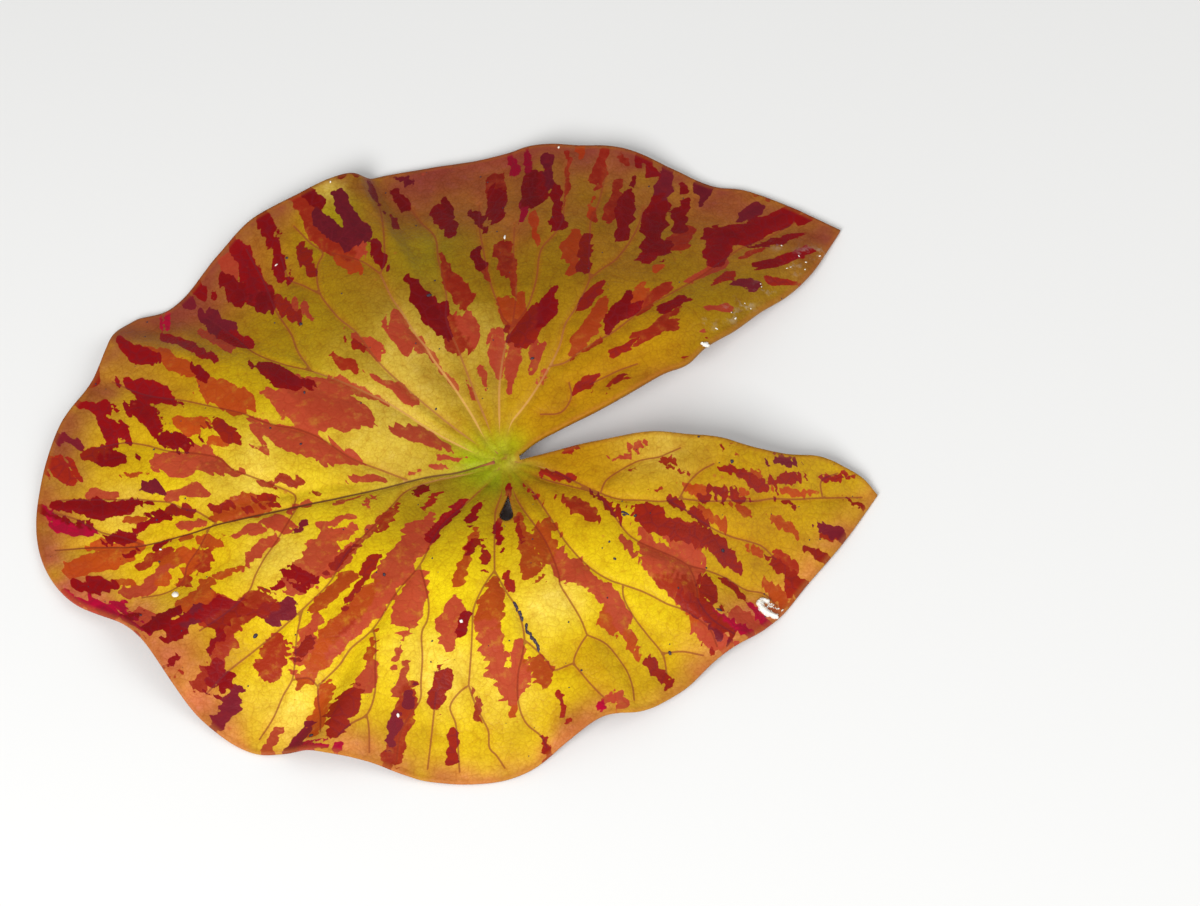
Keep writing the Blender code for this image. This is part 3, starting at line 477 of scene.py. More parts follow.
def paint(red, green, blue):
    """Linear colour from the 0 to 255 numbers on a paint chart."""
    return tuple(((value / 255 + 0.055) / 1.055) ** 2.4 if value > 10 else value / 3295
                 for value in (red, green, blue))


def size_property(label, about, default, **limits):
    """A length in mm that a user would change."""
    return FloatProperty(name=label, description=f"{about}, in mm", default=default, **limits)


class PadShape(bpy.types.PropertyGroup):
    """Sizes of the leaf."""
    net_step: size_property("Net step", "Spacing of the points on the upper face", 0.68, min=0.5, max=4)
    under_step: size_property("Underside step", "Spacing of the points below", 1.5, min=1, max=5)
    blade_at_hub: size_property("Thickness at the hub", "Of the blade over the stalk", 1.4)
    blade_at_rim: size_property("Thickness at the rim", "Of the blade at its edge", 0.9)
    hub_top: size_property("Hub height", "Upper face over the stalk", 8.0)
    crown_rise: size_property("Crown rise", "Rise round the sunken hub", 4.5)
    settle: size_property("Settled", "How far the rim has sunk", 0.35)
    crease: size_property("Midrib crease", "Depth of the fold", 2.2)
    groove: size_property("Vein groove", "How deep the main veins lie", 0.65)
    quilting: size_property("Quilting", "Swelling between the veins", 1.1)
    rib_radius: size_property("Rib radius", "Of the largest rib below", 1.5)
    seed: IntProperty(name="Seed", description="For the grain of the mottling and the dust", default=7)
    dust_count: IntProperty(name="Dust", description="Number of grains on the upper face", default=110)


def colour_property(label, red, green, blue):
    """A colour that a user would change."""
    return FloatVectorProperty(name=label, description=f"Colour of the {label.lower()}",
                               subtype="COLOR", size=3, min=0, max=1,
                               default=paint(red, green, blue))


class PadColours(bpy.types.PropertyGroup):
    """Colours of the leaf, its mottling, its dirt and the white chips that stand for glints."""
    yellow: colour_property("Ground", 208, 172, 3)
    olive: colour_property("Olive ground", 136, 100, 1)
    ochre: colour_property("Ochre ground", 184, 130, 1)
    lemon: colour_property("Bright ground", 240, 216, 14)
    cream: colour_property("Pale ground", 236, 206, 92)
    tan: colour_property("Tan rim", 160, 90, 28)
    mauve: colour_property("Mauve rim", 134, 52, 44)
    leafgreen: colour_property("Green hub", 158, 178, 8)
    blush: colour_property("Flush on the lower rim", 218, 112, 84)
    rust: colour_property("Rust marks", 172, 66, 10)
    salmon: colour_property("Salmon marks", 172, 62, 38)
    brick: colour_property("Brick marks", 144, 30, 10)
    crimson: colour_property("Crimson marks", 132, 4, 8)
    maroon: colour_property("Maroon marks", 112, 22, 34)
    magenta: colour_property("Magenta marks", 168, 2, 46)
    young_vein: colour_property("Veins by the hub", 204, 150, 84)
    old_vein: colour_property("Outer veins", 138, 66, 30)
    underside: colour_property("Underside", 150, 88, 66)
    crumb: colour_property("Dirt", 52, 34, 52)
    flake: colour_property("Dried flakes", 240, 238, 232)


def mix(start, end, share):
    """Blend of two values or arrays."""
    return start + (end - start) * share


def smooth(start, end, value):
    """Ease from 0 at start to 1 at end."""
    share = np.clip((np.asarray(value, float) - start) / (end - start), 0, 1)
    return share * share * (3 - 2 * share)


def at_angle(degrees, radius):
    """Plan points at an angle and radius from the hub."""
    turn = np.radians(degrees)
    return np.stack([radius * np.cos(turn), radius * np.sin(turn)], -1)


def polar(points):
    """Angle in degrees, 0 to 360, and radius of plan points."""
    x, y = points.T
    return np.degrees(np.arctan2(y, x)) % 360, np.hypot(x, y)


def sweep(share, width, start, leaving, end, arriving):
    """Smooth curve from start to end with the slopes given there; share runs from 0 to 1."""
    return ((2 * share ** 3 - 3 * share ** 2 + 1) * start
            + (share ** 3 - 2 * share ** 2 + share) * leaving * width
            + (3 * share ** 2 - 2 * share ** 3) * end
            + (share ** 3 - share ** 2) * arriving * width)


def round_value(knots, degrees):
    """Smooth values through (degrees, value) knots that close up round the leaf."""
    angles, values = np.array(knots, float).T
    angles = np.concatenate([angles - 360, angles, angles + 360])
    values = np.tile(values, 3)
    turn = (np.asarray(degrees, float) - knots[0][0]) % 360 + knots[0][0]
    last = np.searchsorted(angles, turn, side="right") - 1
    width = angles[last + 1] - angles[last]
    rise = np.diff(values) / np.diff(angles)

    def slope(index):
        before, after = rise[index - 1], rise[index]
        total = np.where(before * after > 0, before + after, 1)
        return np.where(before * after > 0, 2 * before * after / total, 0)

    share = (turn - angles[last]) / width
    return sweep(share, width, values[last], slope(last), values[last + 1], slope(last + 1))


def curve_through(knots, step):
    """Rows about a step apart on a smooth open curve; extra columns are carried along."""
    rows = np.array(knots, float)
    rows = np.vstack([2 * rows[0] - rows[1], rows, 2 * rows[-1] - rows[-2]])
    result = []
    for before, start, end, after in zip(rows, rows[1:], rows[2:], rows[3:]):
        lead, span, tail = (math.sqrt(np.linalg.norm((b - a)[:2]))
                            for a, b in ((before, start), (start, end), (end, after)))
        leaving = (start - before) / lead - (end - before) / (lead + span) + (end - start) / span
        arriving = (end - start) / span - (after - start) / (span + tail) + (after - end) / tail
        pieces = max(1, round(np.linalg.norm((end - start)[:2]) / step))
        share = (np.arange(pieces) / pieces)[:, None]
        result.append(sweep(share, span, start, leaving, end, arriving))
    return np.vstack(result + [rows[-2:-1]])


def grain(across, along, seed):
    """Smooth random values from -1 to 1 on a plane, one swing per unit."""
    table = np.random.default_rng(seed).uniform(-1, 1, (256, 256))
    column, row = np.floor(across).astype(int), np.floor(along).astype(int)
    right, up = smooth(0, 1, across - column), smooth(0, 1, along - row)
    corner = [table[(column + i) % 256, (row + j) % 256] for j in (0, 1) for i in (0, 1)]
    return mix(mix(corner[0], corner[1], right), mix(corner[2], corner[3], right), up)


def layered_grain(across, along, seed, layers):
    """Grain of several sizes, added up."""
    return sum(strength * grain(across / wide, along / deep, seed + number)
               for number, (strength, wide, deep) in enumerate(layers))


def fade(gap, reach):
    """1 at no distance, falling away in a bell curve."""
    return np.exp(-(gap / reach) ** 2)


def spot_gap(points, degrees, radius):
    """Distance of plan points from a spot."""
    return np.linalg.norm(points - at_angle(degrees, radius), axis=1)


def leaf_outline(step):
    """The blade's closed outline, anticlockwise, starting at the left lobe's tip."""
    rim = curve_through([at_angle(*knot) for knot in RIM], step)
    right = curve_through([rim[-1]] + RIGHT_EDGE[1:], step)
    left = curve_through(LEFT_EDGE[:-1] + [rim[0]], step)
    return np.vstack([rim, right[1:], left[:-1]])


def hole_outline(step):
    """Tear shape: most of a circle, drawn out to a tip along its two tangents."""
    tip, centre = np.array(HOLE_TIP), np.array(HOLE_CENTRE)
    reach = np.linalg.norm(tip - centre)
    axis = math.degrees(math.atan2(*(tip - centre)[::-1]))
    tangent = math.degrees(math.acos(HOLE_RADIUS / reach))
    turns = np.linspace(axis + tangent, axis + 360 - tangent, int(2 * math.pi * HOLE_RADIUS / step))
    ring = centre + at_angle(turns, HOLE_RADIUS)
    ring[:, 1] -= (HOLE_STRETCH - 1) * np.maximum(centre[1] - ring[:, 1], 0)
    share = np.linspace(0, 1, int(reach / step))[:-1, None]
    return np.vstack([mix(tip, ring[0], share), ring, mix(ring[-1], tip, share[1:])])


def is_inside(points, outline):
    """Whether plan points lie inside a closed outline."""
    start, end = outline, np.roll(outline, -1, 0)
    inside = np.zeros(len(points), bool)
    for first in range(0, len(points), 20000):
        x, y = points[first:first + 20000, :1], points[first:first + 20000, 1:]
        spans = (start[:, 1] > y) != (end[:, 1] > y)
        drop = np.where(end[:, 1] == start[:, 1], 1, end[:, 1] - start[:, 1])
        crossing = start[:, 0] + (y - start[:, 1]) * (end[:, 0] - start[:, 0]) / drop
        inside[first:first + 20000] = np.sum(spans & (x < crossing), 1) % 2 == 1
    return inside


def stretch_gap(points, start, end):
    """Distance of plan points from straight stretches, and how far along them, 0 to 1."""
    along = end - start
    size = np.maximum(np.sum(along * along, -1), 1e-9)
    share = np.clip(np.sum((points - start) * along, -1) / size, 0, 1)
    return np.linalg.norm(points - start - share[..., None] * along, axis=-1), share


class Lines:
    """Curves on the leaf, with the distance from any point to the nearest one."""

    def __init__(self, curves, closed=False):
        self.rows = np.vstack(curves)
        ends = np.cumsum([len(curve) for curve in curves])
        starts = ends - [len(curve) for curve in curves]
        index = np.arange(len(self.rows))
        self.after, self.before = index + 1, index - 1
        self.after[ends - 1] = starts if closed else ends - 1
        self.before[starts] = ends - 1 if closed else starts
        self.edges = [(a, b) for a, b in zip(index.tolist(), self.after.tolist()) if a != b]
        self.tree = KDTree(len(self.rows))
        for number, row in enumerate(self.rows):
            self.tree.insert((row[0], row[1], 0), number)
        self.tree.balance()

    def gap(self, points):
        """Distance to the nearest curve, and that curve's third column there."""
        near = np.array([self.tree.find((x, y, 0))[1] for x, y in points.tolist()])
        here = self.rows[near]
        best, value = np.full(len(points), np.inf), np.zeros(len(points))
        for other in (self.before, self.after):
            there = self.rows[other[near]]
            gap, share = stretch_gap(points, here[:, :2], there[:, :2])
            closer = gap < best
            best = np.where(closer, gap, best)
            if self.rows.shape[1] > 2:
                value = np.where(closer, mix(here[:, 2], there[:, 2], share), value)
        return best, value


def read_rows(text):
    """Rows of numbers from groups such as 12,30 14,36."""
    return [tuple(float(number) for number in group.split(",")) for group in text.split()]


def vein_curves(step):
    """All veins as rows of x, y and strength; the midrib comes first."""
    curves = []
    for line in VEINS.split(";"):
        ends, knots = line.split(":")
        knots = read_rows(knots)
        if knots[0][1] < VEIN_START * 3:
            knots = [(knots[0][0], VEIN_START)] + knots
        strengths = np.linspace(*map(float, ends.split()), len(knots))
        rows = [(*at_angle(*knot), strength) for knot, strength in zip(knots, strengths)]
        curves.append(curve_through(rows, step))
    return curves


def vein_lines():
    """All veins, ready to measure from."""
    return Lines(vein_curves(VEIN_STEP))


def radius_share(points):
    """0 at the hub, 1 at the rim."""
    degrees, radius = polar(points)
    return radius / round_value(RIM + ACROSS_NOTCH, degrees)


def upper_height(points, shape):
    """Height of the blade's upper face, before its veins."""
    degrees, _ = polar(points)
    share = radius_share(points)
    crown = shape.hub_top + shape.crown_rise * smooth(0, CROWN_REACH, share)
    rim = round_value(RIM_HEIGHT, degrees) - shape.settle
    height = crown + (rim - crown) * smooth(0.42, 1.02, share) ** 1.15
    # the crease along the midrib is sharp, and runs out before the tip
    across = np.exp(-np.abs(points[:, 1]) / 7)
    along = smooth(2, 14, -points[:, 0]) * (1 - smooth(0.45, 0.95, share))
    return height - shape.crease * across * along


def relief(points, veins, shape):
    """Sunken veins, the swelling between them and the skin's unevenness, in mm."""
    gap, strength = veins.gap(points)
    share = np.clip(radius_share(points), 0, 1)
    x, y = points.T
    groove = -shape.groove * strength * fade(gap, GROOVE_WIDTH)
    swell = shape.quilting * (1 - np.exp(-(gap / QUILT_REACH) ** 1.4))
    swell = swell * smooth(0.03, 0.22, share) * (1 - 0.5 * share)
    uneven = layered_grain(x, y, shape.seed, SKIN_GRAIN)
    return groove + swell + uneven * smooth(0.02, 0.15, share)


def planar_net(outline, hole, lines, step, seed):
    """Points and triangles that fill the outline and follow the given lines."""
    rng = np.random.default_rng(seed)
    size = np.abs(outline).max() + 2 * step
    rows = np.arange(-size, size, step * math.sqrt(3) / 2)
    columns = np.arange(-size, size, step)
    x, y = np.meshgrid(columns, rows)
    x = x + (np.arange(len(rows)) % 2 * step / 2)[:, None]
    wander = rng.uniform(-NET_JITTER, NET_JITTER, (x.size, 2)) * step
    spots = np.stack([x.ravel(), y.ravel()], -1) + wander
    spots = spots[is_inside(spots, outline) & ~is_inside(spots, hole)]
    edge = Lines([outline, hole], closed=True)
    spots = spots[edge.gap(spots)[0] > 0.55 * step]
    pieces = [outline, hole]
    edges = list(edge.edges)
    if lines:
        spots = spots[lines.gap(spots)[0] > 0.5 * step]
        plan = lines.rows[:, :2]
        inside = is_inside(plan, outline) & (edge.gap(plan)[0] > LEAST_GAP)
        first = len(outline) + len(hole)
        edges += [(first + a, first + b) for a, b in lines.edges if inside[a] and inside[b]]
        pieces.append(plan)
    pieces.append(spots)
    points = [Vector(point) for point in np.vstack(pieces).tolist()]
    net, _, triangles = delaunay_2d_cdt(points, edges, [], 0, 0.02)[:3]
    net = np.array([tuple(point) for point in net])
    triangles = np.array([tuple(triangle) for triangle in triangles])
    middle = net[triangles].mean(1)
    triangles = triangles[is_inside(middle, outline) & ~is_inside(middle, hole)]
    used, triangles = np.unique(triangles, return_inverse=True)
    return net[used], triangles.reshape(-1, 3)


def boundary(triangles):
    """Directed edges that have a triangle on their left only."""
    sides = {(a, b) for face in triangles.tolist() for a, b in zip(face, face[1:] + face[:1])}
    return sorted((a, b) for a, b in sides if (b, a) not in sides)


def mark_field(points, groups, colours, shrink, seed):
    """How deep each point lies inside the marks, in mm, and the colour of the mark it is in."""
    degrees, radius = polar(points)
    arc = np.radians(degrees) * (0.5 * radius + 32)
    drift = layered_grain(arc, radius, seed, MARK_DRIFT)
    sway = layered_grain(arc, radius, seed + 3, MARK_SWAY)
    warped = at_angle(degrees + np.degrees(sway / np.maximum(radius, 8)), radius + drift)
    depth = np.full(len(points), FAR_OUT)
    colour = np.tile(np.array(next(iter(colours.values()))), (len(points), 1))
    tones = np.random.default_rng(seed + 8)
    for name, strokes in groups.items():
        for stroke in map(read_rows, strokes.split(";")):
            # marks on the far side lose some of their colour: partly their own tone, partly painted
            # shade
            far = np.sum((at_angle(*stroke[0][:2]) - FAR_SIDE) ** 2)
            dulling = math.exp(-far / FAR_REACH ** 2) * FAR_DULLING
            shade = np.array(colours[name]) * tones.uniform(0.82, 1.12) * (1 - dulling)
            for start, end in zip(stroke, stroke[1:]):
                a, b = at_angle(*start[:2]), at_angle(*end[:2])
                low, high = np.minimum(a, b) - MARK_REACH, np.maximum(a, b) + MARK_REACH
                near = np.nonzero(np.all((warped > low) & (warped < high), 1))[0]
                gap, share = stretch_gap(warped[near], a, b)
                inside = 0.84 * mix(start[2], end[2], share) + 0.12 - gap
                deeper = near[inside > depth[near]]
                depth[deeper] = inside[inside > depth[near]]
                colour[deeper] = shade
    return depth - shrink - layered_grain(arc, radius, seed + 5, MARK_FRAY), colour


def ground_colour(points, colours, seed):
    """The leaf's colour between its marks, with painted shade round the hub; the olive far side is
    partly painted shade too.
    """
    result = np.tile(np.array(colours["yellow"]), (len(points), 1))
    x, y = points.T
    wander = np.stack([grain(x / 9, y / 9, seed + 5), grain(x / 9, y / 9, seed + 6)], -1) * 4
    for name, patches in GROUND_PATCHES.items():
        for degrees, radius, reach, strength in patches:
            gap = spot_gap(points + wander * min(1, reach / 10), degrees, radius)
            weight = strength * fade(gap, reach)
            result = mix(result, np.array(colours[name]), weight[:, None])
    degrees, radius = polar(points)
    inward = radius * (1 / np.maximum(radius_share(points), 0.05) - 1)
    reach, strength = (round_value([(row[0], row[column]) for row in RIM_FLUSH], degrees)
                       for column in (1, 2))
    flush = np.clip(strength * (1 + 0.7 * grain(x / 5, y / 5, seed + 7)), 0, 0.9)
    flush = flush * fade(inward, reach)
    wash = mix(np.array(colours["blush"]), np.array(colours["mauve"]), smooth(-25, 15, y)[:, None])
    result = mix(result, wash, flush[:, None])
    # painted shade round the hub
    for degrees, radius, reach, strength in PAINTED_SHADE_PATCHES:
        gap = spot_gap(points, degrees, radius)
        result *= 1 - strength * fade(gap, reach)[:, None]
    return result


def store(mesh, name, values):
    """Keep one number or colour at each point."""
    if values.ndim == 1:
        layer = mesh.attributes.new(name, "FLOAT", "POINT")
        layer.data.foreach_set("value", values.astype(np.float32))
        return
    layer = mesh.attributes.new(name, "FLOAT_COLOR", "POINT")
    values = np.hstack([values, np.ones((len(values), 1))]).astype(np.float32)
    layer.data.foreach_set("color", values.ravel())


def to_world(points, heights):
    """Plan points and heights in mm round the hub as metres in the pad's frame."""
    return np.column_stack([points * MM + (HUB.x, HUB.y), np.asarray(heights) * MM])


def new_object(name, mesh, *materials):
    """Put a finished mesh in the scene."""
    for material in materials:
        mesh.materials.append(material)
    piece = bpy.data.objects.new(name, mesh)
    bpy.context.scene.collection.objects.link(piece)
    return piece


def settings():
    """The user's sizes, and every colour by its name."""
    scene = bpy.context.scene
    return scene.pad_shape, {name: tuple(getattr(scene.pad_colours, name))
                             for name in PadColours.__annotations__}


# --- shader maths ---

class Value:
    """A socket or a number in a material, with arithmetic that adds the nodes it needs."""

    def __init__(self, shader, socket):
        self.shader, self.socket = shader, socket

    def maths(self, operation, first, second):
        """Combine two values."""
        return self.shader.node("ShaderNodeMath", {"operation": operation}, {0: first, 1: second})

    def __add__(self, other):
        return self.maths("ADD", self, other)

    def __sub__(self, other):
        return self.maths("SUBTRACT", self, other)

    def __rsub__(self, other):
        return self.maths("SUBTRACT", other, self)

    def __mul__(self, other):
        return self.maths("MULTIPLY", self, other)

    def __truediv__(self, other):
        return self.maths("DIVIDE", self, other)

    def __rtruediv__(self, other):
        return self.maths("DIVIDE", other, self)

    __radd__ = __add__
    __rmul__ = __mul__

    def ease(self, start, end):
        """0 below start, 1 above end, smooth between."""
        return self.shader.node("ShaderNodeMapRange", {"interpolation_type": "SMOOTHSTEP"},
                                {"Value": self, "From Min": start, "From Max": end})

    def fall(self, start, end):
        """1 below start, 0 above end, smooth between."""
        return 1 - self.ease(start, end)


class Shader:
    """A Principled material under construction."""

    def __init__(self, name, **constants):
        self.material = bpy.data.materials.new(name)
        self.material.use_nodes = True
        self.tree = self.material.node_tree
        self.surface = self.tree.nodes["Principled BSDF"]
        for socket, value in constants.items():
            self.surface.inputs[socket.replace("_", " ")].default_value = value

    def node(self, kind, options=None, inputs=None, output=0):
        """Add a node: its options first, then the values or links of its sockets."""
        made = self.tree.nodes.new(kind)
        for name, value in (options or {}).items():
            setattr(made, name, value)
        for name, value in (inputs or {}).items():
            self.plug(made.inputs[name], value)
        return Value(self, made.outputs[output])

    def plug(self, socket, value):
        """Link a value to a socket, or set the socket to it."""
        if isinstance(value, Value):
            self.tree.links.new(value.socket, socket)
        elif isinstance(value, tuple) and len(value) == 3 and socket.type == "RGBA":
            socket.default_value = (*value, 1)
        else:
            socket.default_value = value

    def place(self):
        """Where on the pad."""
        return self.node("ShaderNodeTexCoord", output=3)

    def read(self, name, colour=False):
        """A number or colour kept at each point of the mesh."""
        return self.node("ShaderNodeAttribute", {"attribute_name": name}, output=0 if colour else 2)

    def noise(self, scale, detail=3, roughness=0.5):
        """Cloudy values from 0 to 1; scale is in swings a metre."""
        return self.node("ShaderNodeTexNoise", {"noise_dimensions": "3D"},
                         {"Vector": self.place(), "Scale": scale, "Detail": detail,
                          "Roughness": roughness})

    def cells(self, scale, feature="DISTANCE_TO_EDGE"):
        """Distances in a net of irregular cells."""
        return self.node("ShaderNodeTexVoronoi", {"feature": feature},
                         {"Vector": self.place(), "Scale": scale})

    def blend(self, share, start, end, mode="MIX"):
        """Blend of two colours."""
        return self.node("ShaderNodeMix", {"data_type": "RGBA", "blend_type": mode},
                         {0: share, 6: start, 7: end}, output=2)

    def bump(self, height, strength, distance):
        """Surface relief; distance is in metres."""
        return self.node("ShaderNodeBump", None,
                         {"Height": height, "Strength": strength, "Distance": distance})

    def coats(self, colour, coats, mode="MIX"):
        """Lay coats over a colour, each as its share and its own colour."""
        for share, coat in coats:
            colour = self.blend(share, colour, coat, mode)
        return colour

    def finish(self, **inputs):
        """Link the surface's inputs and hand over the material."""
        for socket, value in inputs.items():
            self.plug(self.surface.inputs[socket.replace("_", " ")], value)
        return self.material


def leaf_top_material(colours):
    """Waxy leaf skin: ground colour, two layers of mottling, veins, fine net, painted shade in the
    midrib's crease and a pale wet film of painted sheen and glints.
    """
    skin = Shader("leaf skin, upper", Specular_IOR_Level=0.13)
    broad, fine, dot = skin.noise(90, 3), skin.noise(420, 4, 0.6), skin.noise(1500, 2)
    net, small_net = skin.cells(330), skin.cells(850)
    ground = skin.coats(skin.read("ground", colour=True), [
        (broad.ease(0.48, 0.72) * 0.55, (0.72, 0.62, 0.40)),
        (broad.ease(0.50, 0.28) * 0.6, (1.14, 1.22, 1.2)),
        (fine.ease(0.48, 0.75) * 0.45, (1.15, 1.18, 2.4)),
        (fine.ease(0.50, 0.30) * 0.55, (0.82, 0.66, 0.5)),
        (dot.ease(0.50, 0.32) * 0.45, (0.80, 0.76, 0.6)),
        (net.fall(0.0, 0.07) * 0.3, (0.72, 0.56, 0.4)),
        (small_net.fall(0.0, 0.15) * 0.45, (0.78, 0.68, 0.5)),
    ], "MULTIPLY")
    flush = skin.read("edge_gap").fall(0.3, 7.0) * skin.noise(60, 3, 0.6).ease(0.42, 0.62)
    ground = skin.blend(flush * skin.read("flushed") * 0.75, ground, colours["mauve"])

    ragged = (skin.noise(900, 3, 0.6) - 0.5) * 0.9 + (dot - 0.5) * 0.5
    pale = (skin.read("pale_depth") + ragged).ease(-0.08, 0.14)
    dark = (skin.read("dark_depth") + ragged).ease(-0.08, 0.12)
    pale_colour = skin.coats(skin.read("pale_colour", colour=True), [
        (fine.ease(0.35, 0.75) * 0.30, colours["salmon"]),
        (broad.ease(0.35, 0.65) * 0.22, colours["brick"]),
        (net.fall(0.0, 0.10) * 0.20, colours["brick"]),
    ])
    dark_colour = skin.coats(skin.read("dark_colour", colour=True), [
        (fine.ease(0.48, 0.8) * 0.25, colours["brick"]),
        (net.fall(0.0, 0.12) * 0.35, colours["maroon"]),
        (skin.read("dark_depth").ease(0.4, 3.0) * 0.18, (0.05, 0.002, 0.01)),
    ])
    colour = skin.blend(pale * (0.98 - fine.ease(0.5, 0.8) * 0.25), ground, pale_colour)
    colour = skin.blend(dark, colour, dark_colour)

    gap, strength = skin.read("vein_gap"), skin.read("vein_strength")
    line = (gap / (strength * 0.07 + 0.19)).fall(0.55, 1.6)
    young = strength.ease(0.42, 0.75)
    vein_colour = skin.blend(young, colours["old_vein"], colours["young_vein"])
    on_mark = skin.blend(0.55, vein_colour, colours["crimson"])
    vein_colour = skin.coats(vein_colour, [
        (pale * (1 - young), on_mark),
        (dark, (0.16, 0.01, 0.015)),
    ])
    glow = (gap / 1.5).fall(0.0, 1.0) * (1 - dark) * strength.fall(0.5, 0.8) * 0.16
    halo = (gap / 2.2).fall(0.0, 1.0) * strength.ease(0.45, 0.95) * (1 - dark) * 0.12
    # painted shade: a dark line in the midrib's crease
    fold = (skin.read("midrib_gap") / 0.30).fall(0.5, 1.5)
    edge = skin.read("edge_gap").fall(0.2, 1.5)
    # painted sheen and glints: a pale speckled coat where the wet film catches the light; its lower
    # roughness is the film's own gloss
    film = skin.read("film") * skin.noise(330, 4, 0.7).ease(0.50, 0.66)
    stain = skin.cells(210, "F1").fall(0.02, 0.16) * skin.noise(160, 1).ease(0.56, 0.66)
    colour = skin.coats(colour, [
        (glow, colours["rust"]),
        (line * 0.78, vein_colour),
        (halo, colours["cream"]),
        (fold * 0.8, (0.07, 0.018, 0.006)),
        (edge * 0.45, colours["tan"]),
        (film * 0.42, (0.50, 0.45, 0.40)),
        (stain * 0.5, colours["salmon"]),
    ])

    height = (net.ease(0.0, 0.22) * 0.3 + small_net.ease(0.0, 0.3) * 0.25 + fine * 0.6 + dot * 0.3
              + broad * 0.5 + film * 0.8)
    rough = fine * 0.16 + 0.40 - film * 0.15 - dark * 0.03 + line * 0.08
    return skin.finish(Base_Color=colour, Roughness=rough, Normal=skin.bump(height, 0.4, 0.00025))


def leaf_under_material(colours):
    """Dull, slightly downy underside with a net of fine veins."""
    skin = Shader("leaf skin, underside", Specular_IOR_Level=0.35)
    broad, fine, net = skin.noise(45, 3), skin.noise(500, 4, 0.6), skin.cells(330)
    stain = skin.noise(70, 4, 0.6).ease(0.56, 0.64)
    colour = skin.coats(colours["underside"], [
        (broad.ease(0.35, 0.65), colours["tan"]),
        (fine.ease(0.4, 0.7) * 0.4, colours["mauve"]),
        (net.fall(0.0, 0.12) * 0.4, colours["brick"]),
        (stain * 0.55, colours["maroon"]),
    ])
    height = net.ease(0.0, 0.2) * -0.8 + fine * 0.6
    return skin.finish(Base_Color=colour, Roughness=fine * 0.15 + 0.5,
                       Normal=skin.bump(height, 0.5, 0.0003))


def rib_material(colours):
    """Smooth fleshy ribs, paler than the underside, with fine streaks."""
    flesh = Shader("rib flesh", Specular_IOR_Level=0.4)
    streak = flesh.noise(700, 3, 0.6)
    colour = flesh.coats(colours["tan"], [
        (streak.ease(0.35, 0.7), colours["mauve"]),
        (flesh.noise(60, 2).ease(0.4, 0.65) * 0.6, colours["underside"]),
    ])
    return flesh.finish(Base_Color=colour, Roughness=streak * 0.2 + 0.38,
                        Normal=flesh.bump(streak, 0.3, 0.0002))


def stalk_material(colours):
    """Reddish brown stalk skin, paler and damp where it is cut."""
    flesh = Shader("stalk skin", Specular_IOR_Level=0.5)
    height = flesh.node("ShaderNodeSeparateXYZ", None, {0: flesh.place()}, output=2)
    fine = flesh.noise(900, 4, 0.6)
    cut = (height / MM).fall(0.05, 0.5)
    colour = flesh.coats(colours["mauve"], [
        (fine.ease(0.4, 0.7), colours["underside"]),
        (cut * 0.85, (0.50, 0.34, 0.17)),
        (fine.ease(0.5, 0.7) * 0.4, colours["old_vein"]),
    ])
    return flesh.finish(Base_Color=colour, Roughness=fine * 0.2 + 0.35 - cut * 0.1,
                        Normal=flesh.bump(fine, 0.4, 0.0002))


def crumb_material(colours):
    """Dark pond dirt, almost black with a violet cast."""
    dirt = Shader("pond dirt", Specular_IOR_Level=0.4)
    fine = dirt.noise(2500, 3, 0.6)
    colour = dirt.blend(fine.ease(0.45, 0.75), colours["crumb"], (0.07, 0.05, 0.07))
    return dirt.finish(Base_Color=colour, Roughness=fine * 0.3 + 0.4,
                       Normal=dirt.bump(fine, 0.6, 0.0002))


def grain_and_glint_material(colours):
    """Pale grains, and white chips that stand for painted glints."""
    chalk = Shader("dried flake", Specular_IOR_Level=0.5)
    fine = chalk.noise(1600, 4, 0.6)
    colour = chalk.blend(fine.ease(0.45, 0.7) * 0.3, colours["flake"], colours["cream"])
    return chalk.finish(Base_Color=colour, Roughness=fine * 0.3 + 0.3,
                        Normal=chalk.bump(fine, 0.5, 0.0003))


# --- pieces ---

def surface_height(points, veins, shape):
    """Height of the finished upper face."""
    return upper_height(points, shape) + relief(points, veins, shape)


def under_height(points, veins, shape):
    """Height of the underside: the upper face less the blade, but never below the ground."""
    share = np.clip(radius_share(points), 0, 1)
    thickness = mix(shape.blade_at_hub, shape.blade_at_rim, share)
    height = upper_height(points, shape) + 0.5 * relief(points, veins, shape) - thickness
    return np.maximum(height, CLEAR)


